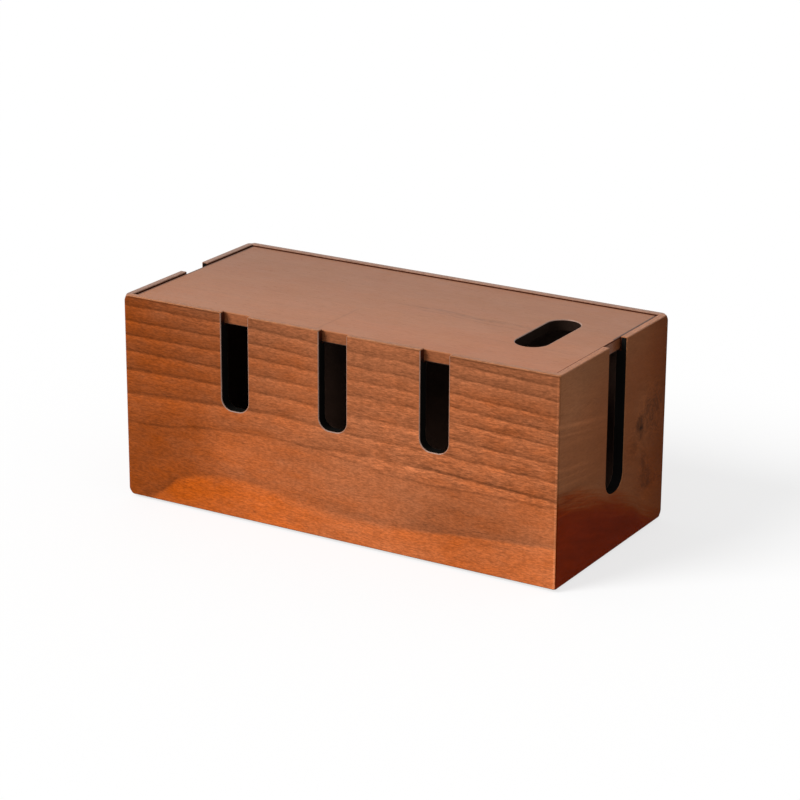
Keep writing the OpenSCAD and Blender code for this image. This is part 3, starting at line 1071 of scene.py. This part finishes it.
def openings_tree():
    """Cuts a row of round-cornered openings through a board. The cheeks keep the cut edge's finish"""

    def build(g, s):
        outline = g.made(
            "GeometryNodeCurvePrimitiveQuadrilateral", {"Width": s["Width"], "Height": s["Length"]}
        )
        corner = {"Curve": outline, "Count": FILLET_STEPS, "Radius": s["Radius"]}
        rounded = g.made("GeometryNodeFilletCurve", corner, mode="POLY")
        half = g.math("MULTIPLY", s["Through"], 0.5)
        flat = g.made("GeometryNodeFillCurve", {"Curve": rounded}, mode="NGONS")
        down = g.join(0, 0, g.math("MULTIPLY", half, -1))
        low = g.made("GeometryNodeTransform", {"Geometry": flat, "Translation": down})
        raised = g.made(
            "GeometryNodeExtrudeMesh", {"Mesh": low, "Offset Scale": s["Through"], "Individual": False}
        )
        floor = g.made("GeometryNodeFlipFaces", {"Mesh": low})
        both = g.add("GeometryNodeJoinGeometry")
        for part in (raised, floor):
            g.tree.links.new(part, both.inputs[0])
        solid = g.made("GeometryNodeMergeByDistance", {"Geometry": both.outputs[0], "Distance": MERGE})
        painted = g.made("GeometryNodeSetMaterial", {"Geometry": solid, "Material": s["Cheek"]})

        first = g.math("MULTIPLY", g.less(s["Count"], 1), g.math("MULTIPLY", s["Pitch"], -0.5))
        row = g.made(
            "GeometryNodeMeshLine",
            {"Count": s["Count"], "Start Location": g.join(first), "Offset": g.join(s["Pitch"])},
        )
        placed = g.made(
            "GeometryNodeInstanceOnPoints", {"Points": row, "Instance": painted, "Rotation": s["Turn"]}
        )
        moved = g.made("GeometryNodeTransform", {"Geometry": placed, "Translation": s["Centre"]})
        cutters = g.made("GeometryNodeRealizeInstances", {"Geometry": moved})
        cut = g.add("GeometryNodeMeshBoolean", {"Mesh 1": s["Geometry"]}, operation="DIFFERENCE")
        cut.solver = "EXACT"
        g.tree.links.new(cutters, cut.inputs["Mesh 2"])
        real = g.made("GeometryNodeRealizeInstances", {"Geometry": cut.outputs[0]})
        bare = g.made("GeometryNodeMaterialSelection", {"Material": s["Cheek"]})
        rest = g.made("FunctionNodeBooleanMath", {0: bare}, operation="NOT")
        faced = {"Geometry": real, "Selection": rest, "Material": s["Face"]}
        return {"Geometry": g.made("GeometryNodeSetMaterial", faced)}

    inputs = {
        "Geometry": ("Geometry", None),
        "Count": ("Int", 1),
        "Pitch": ("Float", 0.0),
        "Width": ("Float", 0.02),
        "Length": ("Float", 0.06),
        "Radius": ("Float", 0.008),
        "Through": ("Float", 0.01),
        "Centre": ("Vector", None),
        "Turn": ("Rotation", None),
        "Face": ("Material", None),
        "Cheek": ("Material", None),
    }
    return node_group("Row of openings", "GeometryNodeTree", inputs, {"Geometry": "Geometry"}, build)


def corners_tree():
    """Sets one copy of a fitting at each corner of a rectangle, turned to look outwards"""

    def build(g, s):
        grid = g.made(
            "GeometryNodeMeshGrid",
            {"Size X": s["Spacing X"], "Size Y": s["Spacing Y"], "Vertices X": 2, "Vertices Y": 2},
        )
        x, y, _ = g.split(g.made("GeometryNodeInputPosition"))
        outwards = g.math("ARCTAN2", g.math("SIGN", y), g.math("SIGN", x))
        turn = g.made("FunctionNodeEulerToRotation", {0: g.join(0.0, 0.0, outwards)})
        placed = g.made(
            "GeometryNodeInstanceOnPoints", {"Points": grid, "Instance": s["Geometry"], "Rotation": turn}
        )
        real = g.made("GeometryNodeRealizeInstances", {"Geometry": placed})
        painted = g.made("GeometryNodeSetMaterial", {"Geometry": real, "Material": s["Finish"]})
        return {"Geometry": painted}

    inputs = {
        "Geometry": ("Geometry", None),
        "Spacing X": ("Float", 0.3),
        "Spacing Y": ("Float", 0.1),
        "Finish": ("Material", None),
    }
    return node_group("Four corners", "GeometryNodeTree", inputs, {"Geometry": "Geometry"}, build)


def add_tree(obj, tree, **values):
    """A geometry nodes modifier on obj, its inputs set by their identifiers"""
    modifier = obj.modifiers.new(tree.name, "NODES")
    modifier.node_group = tree
    sockets = {s.name: s.identifier for s in tree.interface.items_tree if s.in_out == "INPUT"}
    for name, value in values.items():
        modifier[sockets[name.replace("_", " ")]] = value


# ---- Mesh work ----


def new_object(name, bm, materials=()):
    """An object at the origin with bm's mesh, which is freed"""
    bmesh.ops.recalc_face_normals(bm, faces=bm.faces[:])
    mesh = bpy.data.meshes.new(name)
    bm.to_mesh(mesh)
    bm.free()
    for material in materials:
        mesh.materials.append(bpy.data.materials[material])
    obj = bpy.data.objects.new(name, mesh)
    bpy.context.scene.collection.objects.link(obj)
    return obj


def apply_modifiers(obj):
    """Turns the evaluated mesh into obj's own and takes the modifiers off"""
    graph = bpy.context.evaluated_depsgraph_get()
    graph.update()
    mesh = bpy.data.meshes.new_from_object(obj.evaluated_get(graph), depsgraph=graph)
    obj.modifiers.clear()
    old = obj.data
    obj.data = mesh
    bpy.data.meshes.remove(old)
    mesh.name = obj.name


def remove_object(obj):
    mesh = obj.data
    bpy.data.objects.remove(obj)
    bpy.data.meshes.remove(mesh)


def block(bm, low, high):
    """A box between two corners"""
    low, high = Vector(low), Vector(high)
    made = bmesh.ops.create_cube(bm, size=1.0)["verts"]
    bmesh.ops.scale(bm, vec=high - low, verts=made)
    bmesh.ops.translate(bm, vec=(low + high) / 2, verts=made)
    return made


def ease_edges(bm, edges, radius, segments, finish=-1):
    """Rounds edges over"""
    bmesh.ops.bevel(
        bm,
        geom=edges,
        offset=radius,
        offset_type="OFFSET",
        segments=segments,
        profile=0.5,
        affect="EDGES",
        clamp_overlap=True,
        material=finish,
    )


def smooth_shading(obj):
    """Smooth over the eased edges, with the flat faces kept flat"""
    mesh = obj.data
    mesh.polygons.foreach_set("use_smooth", [True] * len(mesh.polygons))
    mesh.set_sharp_from_angle(angle=SHARP_ANGLE)
    normals = obj.modifiers.new("Weighted normals", "WEIGHTED_NORMAL")
    normals.mode = "FACE_AREA"
    normals.weight = FLAT_WEIGHT
    normals.keep_sharp = True
    apply_modifiers(obj)


def keep_mesh(obj, bm, names):
    """Gives obj the named finishes and then bm's mesh, because clearing them resets the faces"""
    obj.data.materials.clear()
    for name in names:
        obj.data.materials.append(bpy.data.materials[name])
    bm.to_mesh(obj.data)
    bm.free()


def upright_edges(bm):
    return [e for e in bm.edges if abs(e.verts[0].co.z - e.verts[1].co.z) > 0.9 * e.calc_length() > 0]


def clean(bm):
    """Merges doubles and takes out the edges that a cut leaves across flat faces"""
    bmesh.ops.remove_doubles(bm, verts=bm.verts[:], dist=MERGE)
    bmesh.ops.dissolve_limit(
        bm, angle_limit=FLAT_ANGLE, verts=bm.verts[:], edges=bm.edges[:], delimit={"MATERIAL"}
    )


# ---- Case boards ----

# Cuts into each sanded tip, the share of its reach that a tip loses and how quickly that starts
TIP_STEPS = 8
TIP_PULL = 0.32
TIP_POWER = 1.8


def board_blank(run, across, sizes):
    """Board along X with its outer face at y = -across / 2, both rebates and mitred ends"""
    outer, inner = -across / 2, sizes.wall - across / 2
    lap, rim = inner - sizes.bottom_lap, outer + sizes.rim
    seat, ledge = CASE_LOW + sizes.bottom_seat, CASE_HIGH - sizes.lid_seat
    section = [
        (outer, CASE_LOW), (lap, CASE_LOW), (lap, seat), (inner, seat),
        (inner, ledge), (rim, ledge), (rim, CASE_HIGH), (outer, CASE_HIGH),
    ]
    bm = bmesh.new()
    end = bm.faces.new([bm.verts.new((-run / 2, y, z)) for y, z in section])
    swept = bmesh.ops.extrude_face_region(bm, geom=[end])["geom"]
    bmesh.ops.translate(bm, vec=(run, 0, 0), verts=[v for v in swept if isinstance(v, bmesh.types.BMVert)])
    corners = [e for e in upright_edges(bm) if all(abs(v.co.y - outer) < MERGE for v in e.verts)]
    ease_edges(bm, corners, sizes.corner, CORNER_STEPS)
    for side in (-1, 1):
        cut = bmesh.ops.bisect_plane(
            bm,
            geom=bm.verts[:] + bm.edges[:] + bm.faces[:],
            plane_co=(side * run / 2, outer, 0),
            plane_no=(side, 1, 0),
            clear_outer=True,
        )["geom_cut"]
        bmesh.ops.edgeloop_fill(bm, edges=[e for e in cut if isinstance(e, bmesh.types.BMEdge)])
    return bm


def spline_strip(bm, sizes, gap):
    """A spline along Z, thin along X, between the rebates"""
    x, y = sizes.spline_thickness / 2 + gap, sizes.spline_width / 2 + gap
    return block(bm, (-x, -y, SPLINE_LOW.z - gap), (x, y, SPLINE_HIGH.z + gap))


def groove_cutters(run, across, wall, fittings):
    """The closed grooves of the splines in a board's two mitres"""
    bm = bmesh.new()
    for side in (-1, 1):
        strip = spline_strip(bm, fittings, fittings.spline_gap)
        turn = Matrix.Rotation(-side * math.pi / 4, 4, "Z")
        corner = Vector((side * (run / 2 - wall), wall - across / 2, 0))
        outwards = Vector((side, -1, 0)).normalized() * fittings.spline_in
        bmesh.ops.transform(bm, matrix=Matrix.Translation(corner + outwards) @ turn, verts=strip)
    return new_object("spline_grooves", bm, [CORE])


def slice_faces(bm, faces, point, normal):
    """Cuts faces along a plane and keeps both sides"""
    edges = {e for f in faces for e in f.edges}
    verts = {v for f in faces for v in f.verts}
    geom = [*verts, *edges, *faces]
    bmesh.ops.bisect_plane(bm, geom=geom, dist=MERGE, plane_co=point, plane_no=normal)


def sand_tips(bm, run, across, tips):
    """Rounds a board's outer tips, alike on both sides of a mitre. tips holds the reach at each end"""
    middle = (CASE_LOW + CASE_HIGH) / 2
    for side, reach in zip((-1, 1), tips):
        steps = [reach * step / TIP_STEPS for step in range(TIP_STEPS, 0, -1)]
        limit = run / 2 - reach - MERGE
        slice_faces(bm, bm.faces[:], (side * (run / 2 - reach), 0, 0), (1, 0, 0))
        planes = [((side * (run / 2 - inset), 0, 0), (1, 0, 0)) for inset in steps[1:]]
        planes += [((0, 0, z), (0, 0, 1)) for inset in steps for z in (CASE_LOW + inset, CASE_HIGH - inset)]
        for point, normal in planes:
            near = [f for f in bm.faces if min(side * v.co.x for v in f.verts) > limit]
            slice_faces(bm, near, point, normal)
        for vert in bm.verts:
            x, y, z = vert.co
            insets = (run / 2 - side * x, y + across / 2, min(z - CASE_LOW, CASE_HIGH - z))
            nearness = math.prod(max(0.0, 1 - inset / reach) for inset in insets)
            pull = TIP_PULL * reach * nearness**TIP_POWER
            vert.co += Vector((-side * pull, pull, math.copysign(pull, middle - z)))


def paint_board(obj, run, across, sizes, veneer, edge, tips):
    """Gives each face of a board its finish and eases its arrises"""
    names = [veneer, edge, INSIDE, CORE, CUT_EDGE, EASED_EDGE_AND_HIGHLIGHT, SEAT_AND_GAP_SHADE]
    outer, is_end = -across / 2, run < across
    bm = bmesh.new()
    bm.from_mesh(obj.data)
    old_names = [m.name if m else "" for m in obj.data.materials]
    mitres = [(Vector((side, 1, 0)).normalized(), (run - across) / 2) for side in (-1, 1)]

    def finish_of(face):
        kept = old_names[face.material_index] if old_names else ""
        if kept in {CORE, CUT_EDGE}:
            return kept
        normal, middle = face.normal, face.calc_center_median()
        if any(normal.dot(n) > 0.99 and abs(middle.dot(n) * math.sqrt(2) - d) < ON_PLANE for n, d in mitres):
            return CORE
        if normal.y < -0.5:
            return veneer
        if abs(normal.z) > 0.5 and (middle.z < CASE_LOW + ON_PLANE or middle.z > CASE_HIGH - ON_PLANE):
            return edge
        if middle.z > CASE_HIGH - sizes.lid_seat - ON_PLANE:
            return SEAT_AND_GAP_SHADE
        return INSIDE

    for face in bm.faces:
        face.material_index = names.index(finish_of(face))
    clean(bm)
    core = names.index(CORE)
    arrises = [
        e
        for e in bm.edges
        if len(e.link_faces) == 2
        and e.is_convex
        and e.calc_face_angle() > ARRIS_ANGLE
        and core not in {f.material_index for f in e.link_faces}
    ]
    ease_edges(bm, arrises, sizes.ease, EASE_STEPS, names.index(EASED_EDGE_AND_HIGHLIGHT))
    for face in bm.faces:
        if names[face.material_index] != EASED_EDGE_AND_HIGHLIGHT:
            continue
        middle = face.calc_center_median()
        near_top = middle.z > CASE_HIGH - 1.1 * sizes.ease
        near_foot = middle.z < CASE_LOW + 1.1 * sizes.ease
        if near_top or near_foot:
            face.material_index = names.index(edge)
        elif middle.y > outer + 1.5 * sizes.ease:
            above_ledge = middle.z > CASE_HIGH - sizes.lid_seat - sizes.ease
            face.material_index = names.index(SEAT_AND_GAP_SHADE if above_ledge else INSIDE)
        # Painted highlight: outside, the pale line stays only on slot arrises turned towards the camera. On
        # the long boards these keep the eased finish and the rest take edge grain; on the ends these take
        # edge grain and the rest the veneer
        elif is_end:
            face.material_index = names.index(edge if face.normal.x < -0.3 else veneer)
        elif face.normal.x < -0.35:
            face.material_index = names.index(edge)
    sand_tips(bm, run, across, tips)
    keep_mesh(obj, bm, names)


def make_board(name, node, run, across, turn, veneer, edge, slot, tips, openings=None):
    """A whole case board that replaces its CAD node"""
    sizes = bpy.context.scene.cable_box_boards
    fittings = bpy.context.scene.cable_box_fittings
    board = new_object(name, board_blank(run, across, sizes), [veneer])
    grooves = groove_cutters(run, across, sizes.wall, fittings)
    cut = board.modifiers.new("Spline grooves", "BOOLEAN")
    cut.operation, cut.solver, cut.object, cut.material_mode = "DIFFERENCE", "EXACT", grooves, "TRANSFER"
    if openings:
        count, pitch, width, depth, radius, shift = openings
        spare = 2 * radius
        add_tree(
            board,
            openings_tree(),
            Count=count,
            Pitch=pitch,
            Width=width,
            Length=depth + spare,
            Radius=radius,
            Through=sizes.wall + 2 * MM,
            Centre=(shift, (sizes.wall - across) / 2, CASE_HIGH - depth + (depth + spare) / 2),
            Turn=(math.pi / 2, 0.0, 0.0),
            Face=bpy.data.materials[veneer],
            Cheek=bpy.data.materials[CUT_EDGE],
        )
    apply_modifiers(board)
    remove_object(grooves)
    paint_board(board, run, across, sizes, veneer, edge, tips)
    board.data.transform(Matrix.Rotation(turn, 4, "Z"))
    smooth_shading(board)
    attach(board, "case")
    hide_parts(node)


class CABLEBOX_OT_boards(bpy.types.Operator):
    """Makes the four mitred boards of the case with their cable slots"""

    bl_idname = "cablebox.boards"
    bl_label = "Make Case Boards"

    def execute(self, context):
        s = context.scene.cable_box_boards
        row = (s.slot_count, s.slot_pitch, s.slot_width, s.slot_depth, s.slot_radius, 0.0)
        single = (1, 0.0, s.end_width, s.end_depth, s.end_radius)
        on_right, on_left = (*single, s.end_back), (*single, -s.end_back)
        length, depth, quarter = CASE_LENGTH, CASE_DEPTH, math.pi / 2
        alike, crisp_right, crisp_left = (s.tip, s.tip), (s.tip, s.crisp_tip), (s.crisp_tip, s.tip)
        long_board, end_board = (length, depth), (depth, length)
        make_board(
            "front_board", "front_panel", *long_board, 0.0,
            FRONT_VENEER, LONG_EDGE, "walnut_face", crisp_right, row,
        )
        make_board(
            "back_board", "back_panel", *long_board, 2 * quarter,
            BACK_VENEER, LONG_EDGE, "walnut_face", alike,
        )
        make_board(
            "right_board", "right_end_panel", *end_board, quarter,
            RIGHT_VENEER, CROSS_EDGE, "walnut_end", crisp_left, on_right,
        )
        make_board(
            "left_board", "left_end_panel", *end_board, -quarter,
            LEFT_VENEER, CROSS_EDGE, "walnut_end", alike, on_left,
        )
        return {"FINISHED"}


# ---- Lid ----


class CABLEBOX_OT_lid(bpy.types.Operator):
    """Makes the loose lid with its finger hole"""

    bl_idname = "cablebox.lid"
    bl_label = "Make Lid"

    def execute(self, context):
        sizes, boards = context.scene.cable_box_fittings, context.scene.cable_box_boards
        bm = bmesh.new()
        block(bm, LID_LOW, LID_HIGH)
        ease_edges(bm, upright_edges(bm), boards.corner, CORNER_STEPS)
        lid = new_object("lid_board", bm, [LID_VENEER])
        thickness = LID_HIGH.z - LID_LOW.z
        add_tree(
            lid,
            openings_tree(),
            Count=1,
            Pitch=0.0,
            Width=sizes.hole_width,
            Length=sizes.hole_length,
            Radius=sizes.hole_width / 2 - RADIUS_SPARE,
            Through=thickness + 2 * MM,
            Centre=(CASE_LENGTH / 2 - sizes.hole_inset, 0.0, (LID_LOW.z + LID_HIGH.z) / 2),
            Turn=(0.0, 0.0, 0.0),
            Face=bpy.data.materials[LID_VENEER],
            Cheek=bpy.data.materials[HOLE_EDGE_WITH_PAINTED_LIGHT],
        )
        apply_modifiers(lid)
        self.paint(lid, boards.ease)
        smooth_shading(lid)
        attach(lid, "case" if "lid" not in frame["bodies"] else "lid")
        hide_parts("lid")
        return {"FINISHED"}

    def paint(self, lid, ease):
        """Veneer above, stain below, edge grain round the outside, black cheeks in the hole and painted
        shade of the gap on the top arris
        """
        names = [LID_VENEER, LID_EDGE, INSIDE, HOLE_EDGE_WITH_PAINTED_LIGHT, EASED_EDGE_AND_HIGHLIGHT, SEAT_AND_GAP_SHADE]
        before = [m.name for m in lid.data.materials]
        bm = bmesh.new()
        bm.from_mesh(lid.data)
        for face in bm.faces:
            if before[face.material_index] == HOLE_EDGE_WITH_PAINTED_LIGHT:
                finish = HOLE_EDGE_WITH_PAINTED_LIGHT
            elif face.normal.z > 0.5:
                finish = LID_VENEER
            elif face.normal.z < -0.5:
                finish = INSIDE
            else:
                finish = LID_EDGE
            face.material_index = names.index(finish)
        clean(bm)
        arrises = [e for e in bm.edges if e.is_convex and e.calc_face_angle() > ARRIS_ANGLE]
        ease_edges(bm, arrises, ease, EASE_STEPS, names.index(EASED_EDGE_AND_HIGHLIGHT))
        for face in bm.faces:
            if names[face.material_index] != EASED_EDGE_AND_HIGHLIGHT:
                continue
            middle = face.calc_center_median()
            above = middle.z > (LID_LOW.z + LID_HIGH.z) / 2
            at_rim = min(LID_HIGH.x - abs(middle.x), LID_HIGH.y - abs(middle.y)) < 2 * ease
            at_front = middle.y < LID_LOW.y + 2 * ease or (middle.x > 0 and middle.y < 0)
            # Along the back, the left and the back half of the right, the top arris takes the seat's dark
            # finish as painted shade of the gap; at the front it keeps the veneer
            if at_rim:
                face.material_index = names.index((LID_VENEER if at_front else SEAT_AND_GAP_SHADE) if above else INSIDE)
            elif not above:
                face.material_index = names.index(HOLE_EDGE_WITH_PAINTED_LIGHT)
        keep_mesh(lid, bm, names)


# ---- Bottom, splines and feet ----


class CABLEBOX_OT_bottom(bpy.types.Operator):
    """Makes the bottom panel in its rebate"""

    bl_idname = "cablebox.bottom"
    bl_label = "Make Bottom"

    def execute(self, context):
        bm = bmesh.new()
        block(bm, BOTTOM_LOW, BOTTOM_HIGH)
        for face in bm.faces:
            face.material_index = 1 if face.normal.z > 0.5 else 0
        ease_edges(bm, bm.edges[:], BOTTOM_EASE, 2)
        bottom = new_object("bottom_board", bm, [PLYWOOD, INSIDE])
        smooth_shading(bottom)
        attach(bottom, "case")
        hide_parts("bottom_panel")
        return {"FINISHED"}


def four_corners(name, bm, spacing, finish, nodes):
    """One fitting set at the case's four corners, as one piece that replaces its nodes"""
    piece = new_object(name, bm, [finish])
    add_tree(
        piece,
        corners_tree(),
        Spacing_X=spacing[0],
        Spacing_Y=spacing[1],
        Finish=bpy.data.materials[finish],
    )
    apply_modifiers(piece)
    smooth_shading(piece)
    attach(piece, "case")
    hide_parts(*nodes)


class CABLEBOX_OT_splines(bpy.types.Operator):
    """Makes the loose splines in the four mitres"""

    bl_idname = "cablebox.splines"
    bl_label = "Make Corner Splines"

    def execute(self, context):
        sizes, wall = context.scene.cable_box_fittings, context.scene.cable_box_boards.wall
        bm = bmesh.new()
        spline_strip(bm, sizes, 0.0)
        ease_edges(bm, bm.edges[:], SPLINE_EASE, 2)
        outwards = sizes.spline_in * math.sqrt(2)
        spacing = (CASE_LENGTH - 2 * wall + outwards, CASE_DEPTH - 2 * wall + outwards)
        nodes = [n for n in sorted(frame["nodes"]) if n.startswith("spline_")]
        four_corners("corner_splines", bm, spacing, BEECH, nodes)
        return {"FINISHED"}


class CABLEBOX_OT_feet(bpy.types.Operator):
    """Makes the round rubber feet"""

    bl_idname = "cablebox.feet"
    bl_label = "Make Feet"

    def execute(self, context):
        sizes = context.scene.cable_box_fittings
        radius, high = (FOOT_HIGH.x - FOOT_LOW.x) / 2, FOOT_HIGH.z
        edge, dish = sizes.foot_edge, sizes.foot_dish
        outline = [(0.0, dish), (0.45 * radius, dish), (0.62 * radius, 0.0), (radius - edge, 0.0)]
        for step in range(1, 7):
            a = math.radians(15 * step)
            outline.append((radius - edge + edge * math.sin(a), edge - edge * math.cos(a)))
        outline += [(radius, high - FOOT_EASE), (radius - FOOT_EASE, high), (0.0, high)]
        bm = bmesh.new()
        line = [bm.verts.new((x, 0, z)) for x, z in outline]
        edges = [bm.edges.new(pair) for pair in zip(line, line[1:])]
        bmesh.ops.spin(
            bm,
            geom=line + edges,
            cent=(0, 0, 0),
            axis=(0, 0, 1),
            angle=math.tau,
            steps=64,
            use_duplicate=False,
        )
        bmesh.ops.remove_doubles(bm, verts=bm.verts[:], dist=MERGE)
        middle = (FOOT_LOW + FOOT_HIGH) / 2
        nodes = [n for n in sorted(frame["nodes"]) if n.startswith("foot_")]
        spacing = (2 * abs(middle.x), 2 * abs(middle.y))
        four_corners("rubber_feet", bm, spacing, RUBBER, nodes)
        return {"FINISHED"}


# ---- Stage ----

# Reach of the floor from its middle, how far it lies under the feet, and the sensor's width in
# millimetres
FLOOR_REACH = 8.0
FLOOR_DROP = 0.05 * MM
SENSOR_WIDTH = 36.0


class CABLEBOX_OT_stage(bpy.types.Operator):
    """Makes the camera, the floor and the light"""

    bl_idname = "cablebox.stage"
    bl_label = "Make Stage"

    def execute(self, context):
        settings = context.scene.cable_box_stage
        self.camera(context, settings)
        self.floor(settings)
        self.light(context, settings)
        context.scene.view_settings.view_transform = "Standard"
        return {"FINISHED"}

    def camera(self, context, s):
        back = Vector(
            (
                math.sin(s.azimuth) * math.cos(s.elevation),
                -math.cos(s.azimuth) * math.cos(s.elevation),
                math.sin(s.elevation),
            )
        )
        right = Vector((math.cos(s.azimuth), math.sin(s.azimuth), 0))
        up = back.cross(right)
        turn = Matrix.Rotation(s.roll, 3, back)
        axes = Matrix((turn @ right, turn @ up, back)).transposed().to_4x4()
        data = bpy.data.cameras.new("camera")
        data.lens, data.sensor_width = s.lens, SENSOR_WIDTH
        camera = bpy.data.objects.new("camera", data)
        camera.matrix_world = Matrix.Translation(Vector(s.target) + back * s.distance) @ axes
        context.scene.collection.objects.link(camera)
        context.scene.camera = camera

    def shown_white(self, g):
        """1 for rays from the camera, a mirror or glass, which see the background"""
        path = g.add("ShaderNodeLightPath").outputs
        seen = g.math("MAXIMUM", path["Is Camera Ray"], path["Is Glossy Ray"])
        return g.math("MAXIMUM", seen, path["Is Transmission Ray"])

    def floor(self, s):
        bm = bmesh.new()
        bmesh.ops.create_grid(bm, x_segments=1, y_segments=1, size=FLOOR_REACH)
        bmesh.ops.translate(bm, vec=(0, 0, -FLOOR_DROP), verts=bm.verts[:])
        material, g, shader = new_material("studio_floor")
        shown = self.shown_white(g)
        level = g.blend(shown, s.floor_bounce, s.shadow)
        g.feed(shader.inputs["Base Color"], g.join(level, level, level))
        shader.inputs["Emission Color"].default_value = (1.0, 1.0, 1.0, 1.0)
        g.feed(shader.inputs["Emission Strength"], g.product(shown, 1.0 - s.shadow))
        shader.inputs["Roughness"].default_value = 1.0
        shader.inputs["Specular IOR Level"].default_value = 0.0
        new_object("studio_floor", bm, [material.name])

    def light(self, context, s):
        sun = bpy.data.lights.new("key_light", "SUN")
        sun.energy, sun.angle = s.key, s.key_angle
        key = bpy.data.objects.new("key_light", sun)
        key.rotation_euler = Vector(s.key_from).to_track_quat("Z", "Y").to_euler()
        context.scene.collection.objects.link(key)
        world = bpy.data.worlds.new("studio")
        world.use_nodes = True
        world.node_tree.nodes.clear()
        g = Shading(world.node_tree)
        level = g.blend(self.shown_white(g), s.fill, 1.0)
        back = g.add("ShaderNodeBackground", {"Color": (1, 1, 1, 1), "Strength": level})
        g.feed(g.add("ShaderNodeOutputWorld").inputs[0], back.outputs[0])
        context.scene.world = world


# ---- Panel and registration ----

STEPS = (
    CABLEBOX_OT_finishes,
    CABLEBOX_OT_stage,
    CABLEBOX_OT_boards,
    CABLEBOX_OT_lid,
    CABLEBOX_OT_bottom,
    CABLEBOX_OT_splines,
    CABLEBOX_OT_feet,
)
SETTINGS = {
    "cable_box_boards": CableBoxBoards,
    "cable_box_fittings": CableBoxFittings,
    "cable_box_colours": CableBoxColours,
    "cable_box_stage": CableBoxStage,
}


class CABLEBOX_PT_panel(bpy.types.Panel):
    """Settings and steps of the cable management box"""

    bl_label = "Cable Box"
    bl_idname = "CABLEBOX_PT_panel"
    bl_space_type = "VIEW_3D"
    bl_region_type = "UI"
    bl_category = "Cable Box"

    def draw(self, context):
        for step in STEPS:
            self.layout.operator(step.bl_idname)
        for name, group in SETTINGS.items():
            box = self.layout.box()
            for setting in group.__annotations__:
                box.prop(getattr(context.scene, name), setting)


CLASSES = (*SETTINGS.values(), *STEPS, CABLEBOX_PT_panel)


def register():
    for cls in CLASSES:
        bpy.utils.register_class(cls)
    for name, group in SETTINGS.items():
        setattr(bpy.types.Scene, name, PointerProperty(type=group))


def unregister():
    for name in SETTINGS:
        delattr(bpy.types.Scene, name)
    for cls in reversed(CLASSES):
        bpy.utils.unregister_class(cls)


def main():
    register()
    bpy.ops.cablebox.finishes()
    bpy.ops.cablebox.stage()
    bpy.ops.cablebox.boards()
    bpy.ops.cablebox.lid()
    bpy.ops.cablebox.bottom()
    bpy.ops.cablebox.splines()
    bpy.ops.cablebox.feet()
    bpy.context.view_layer.update()


if __name__ == "__main__":
    main()
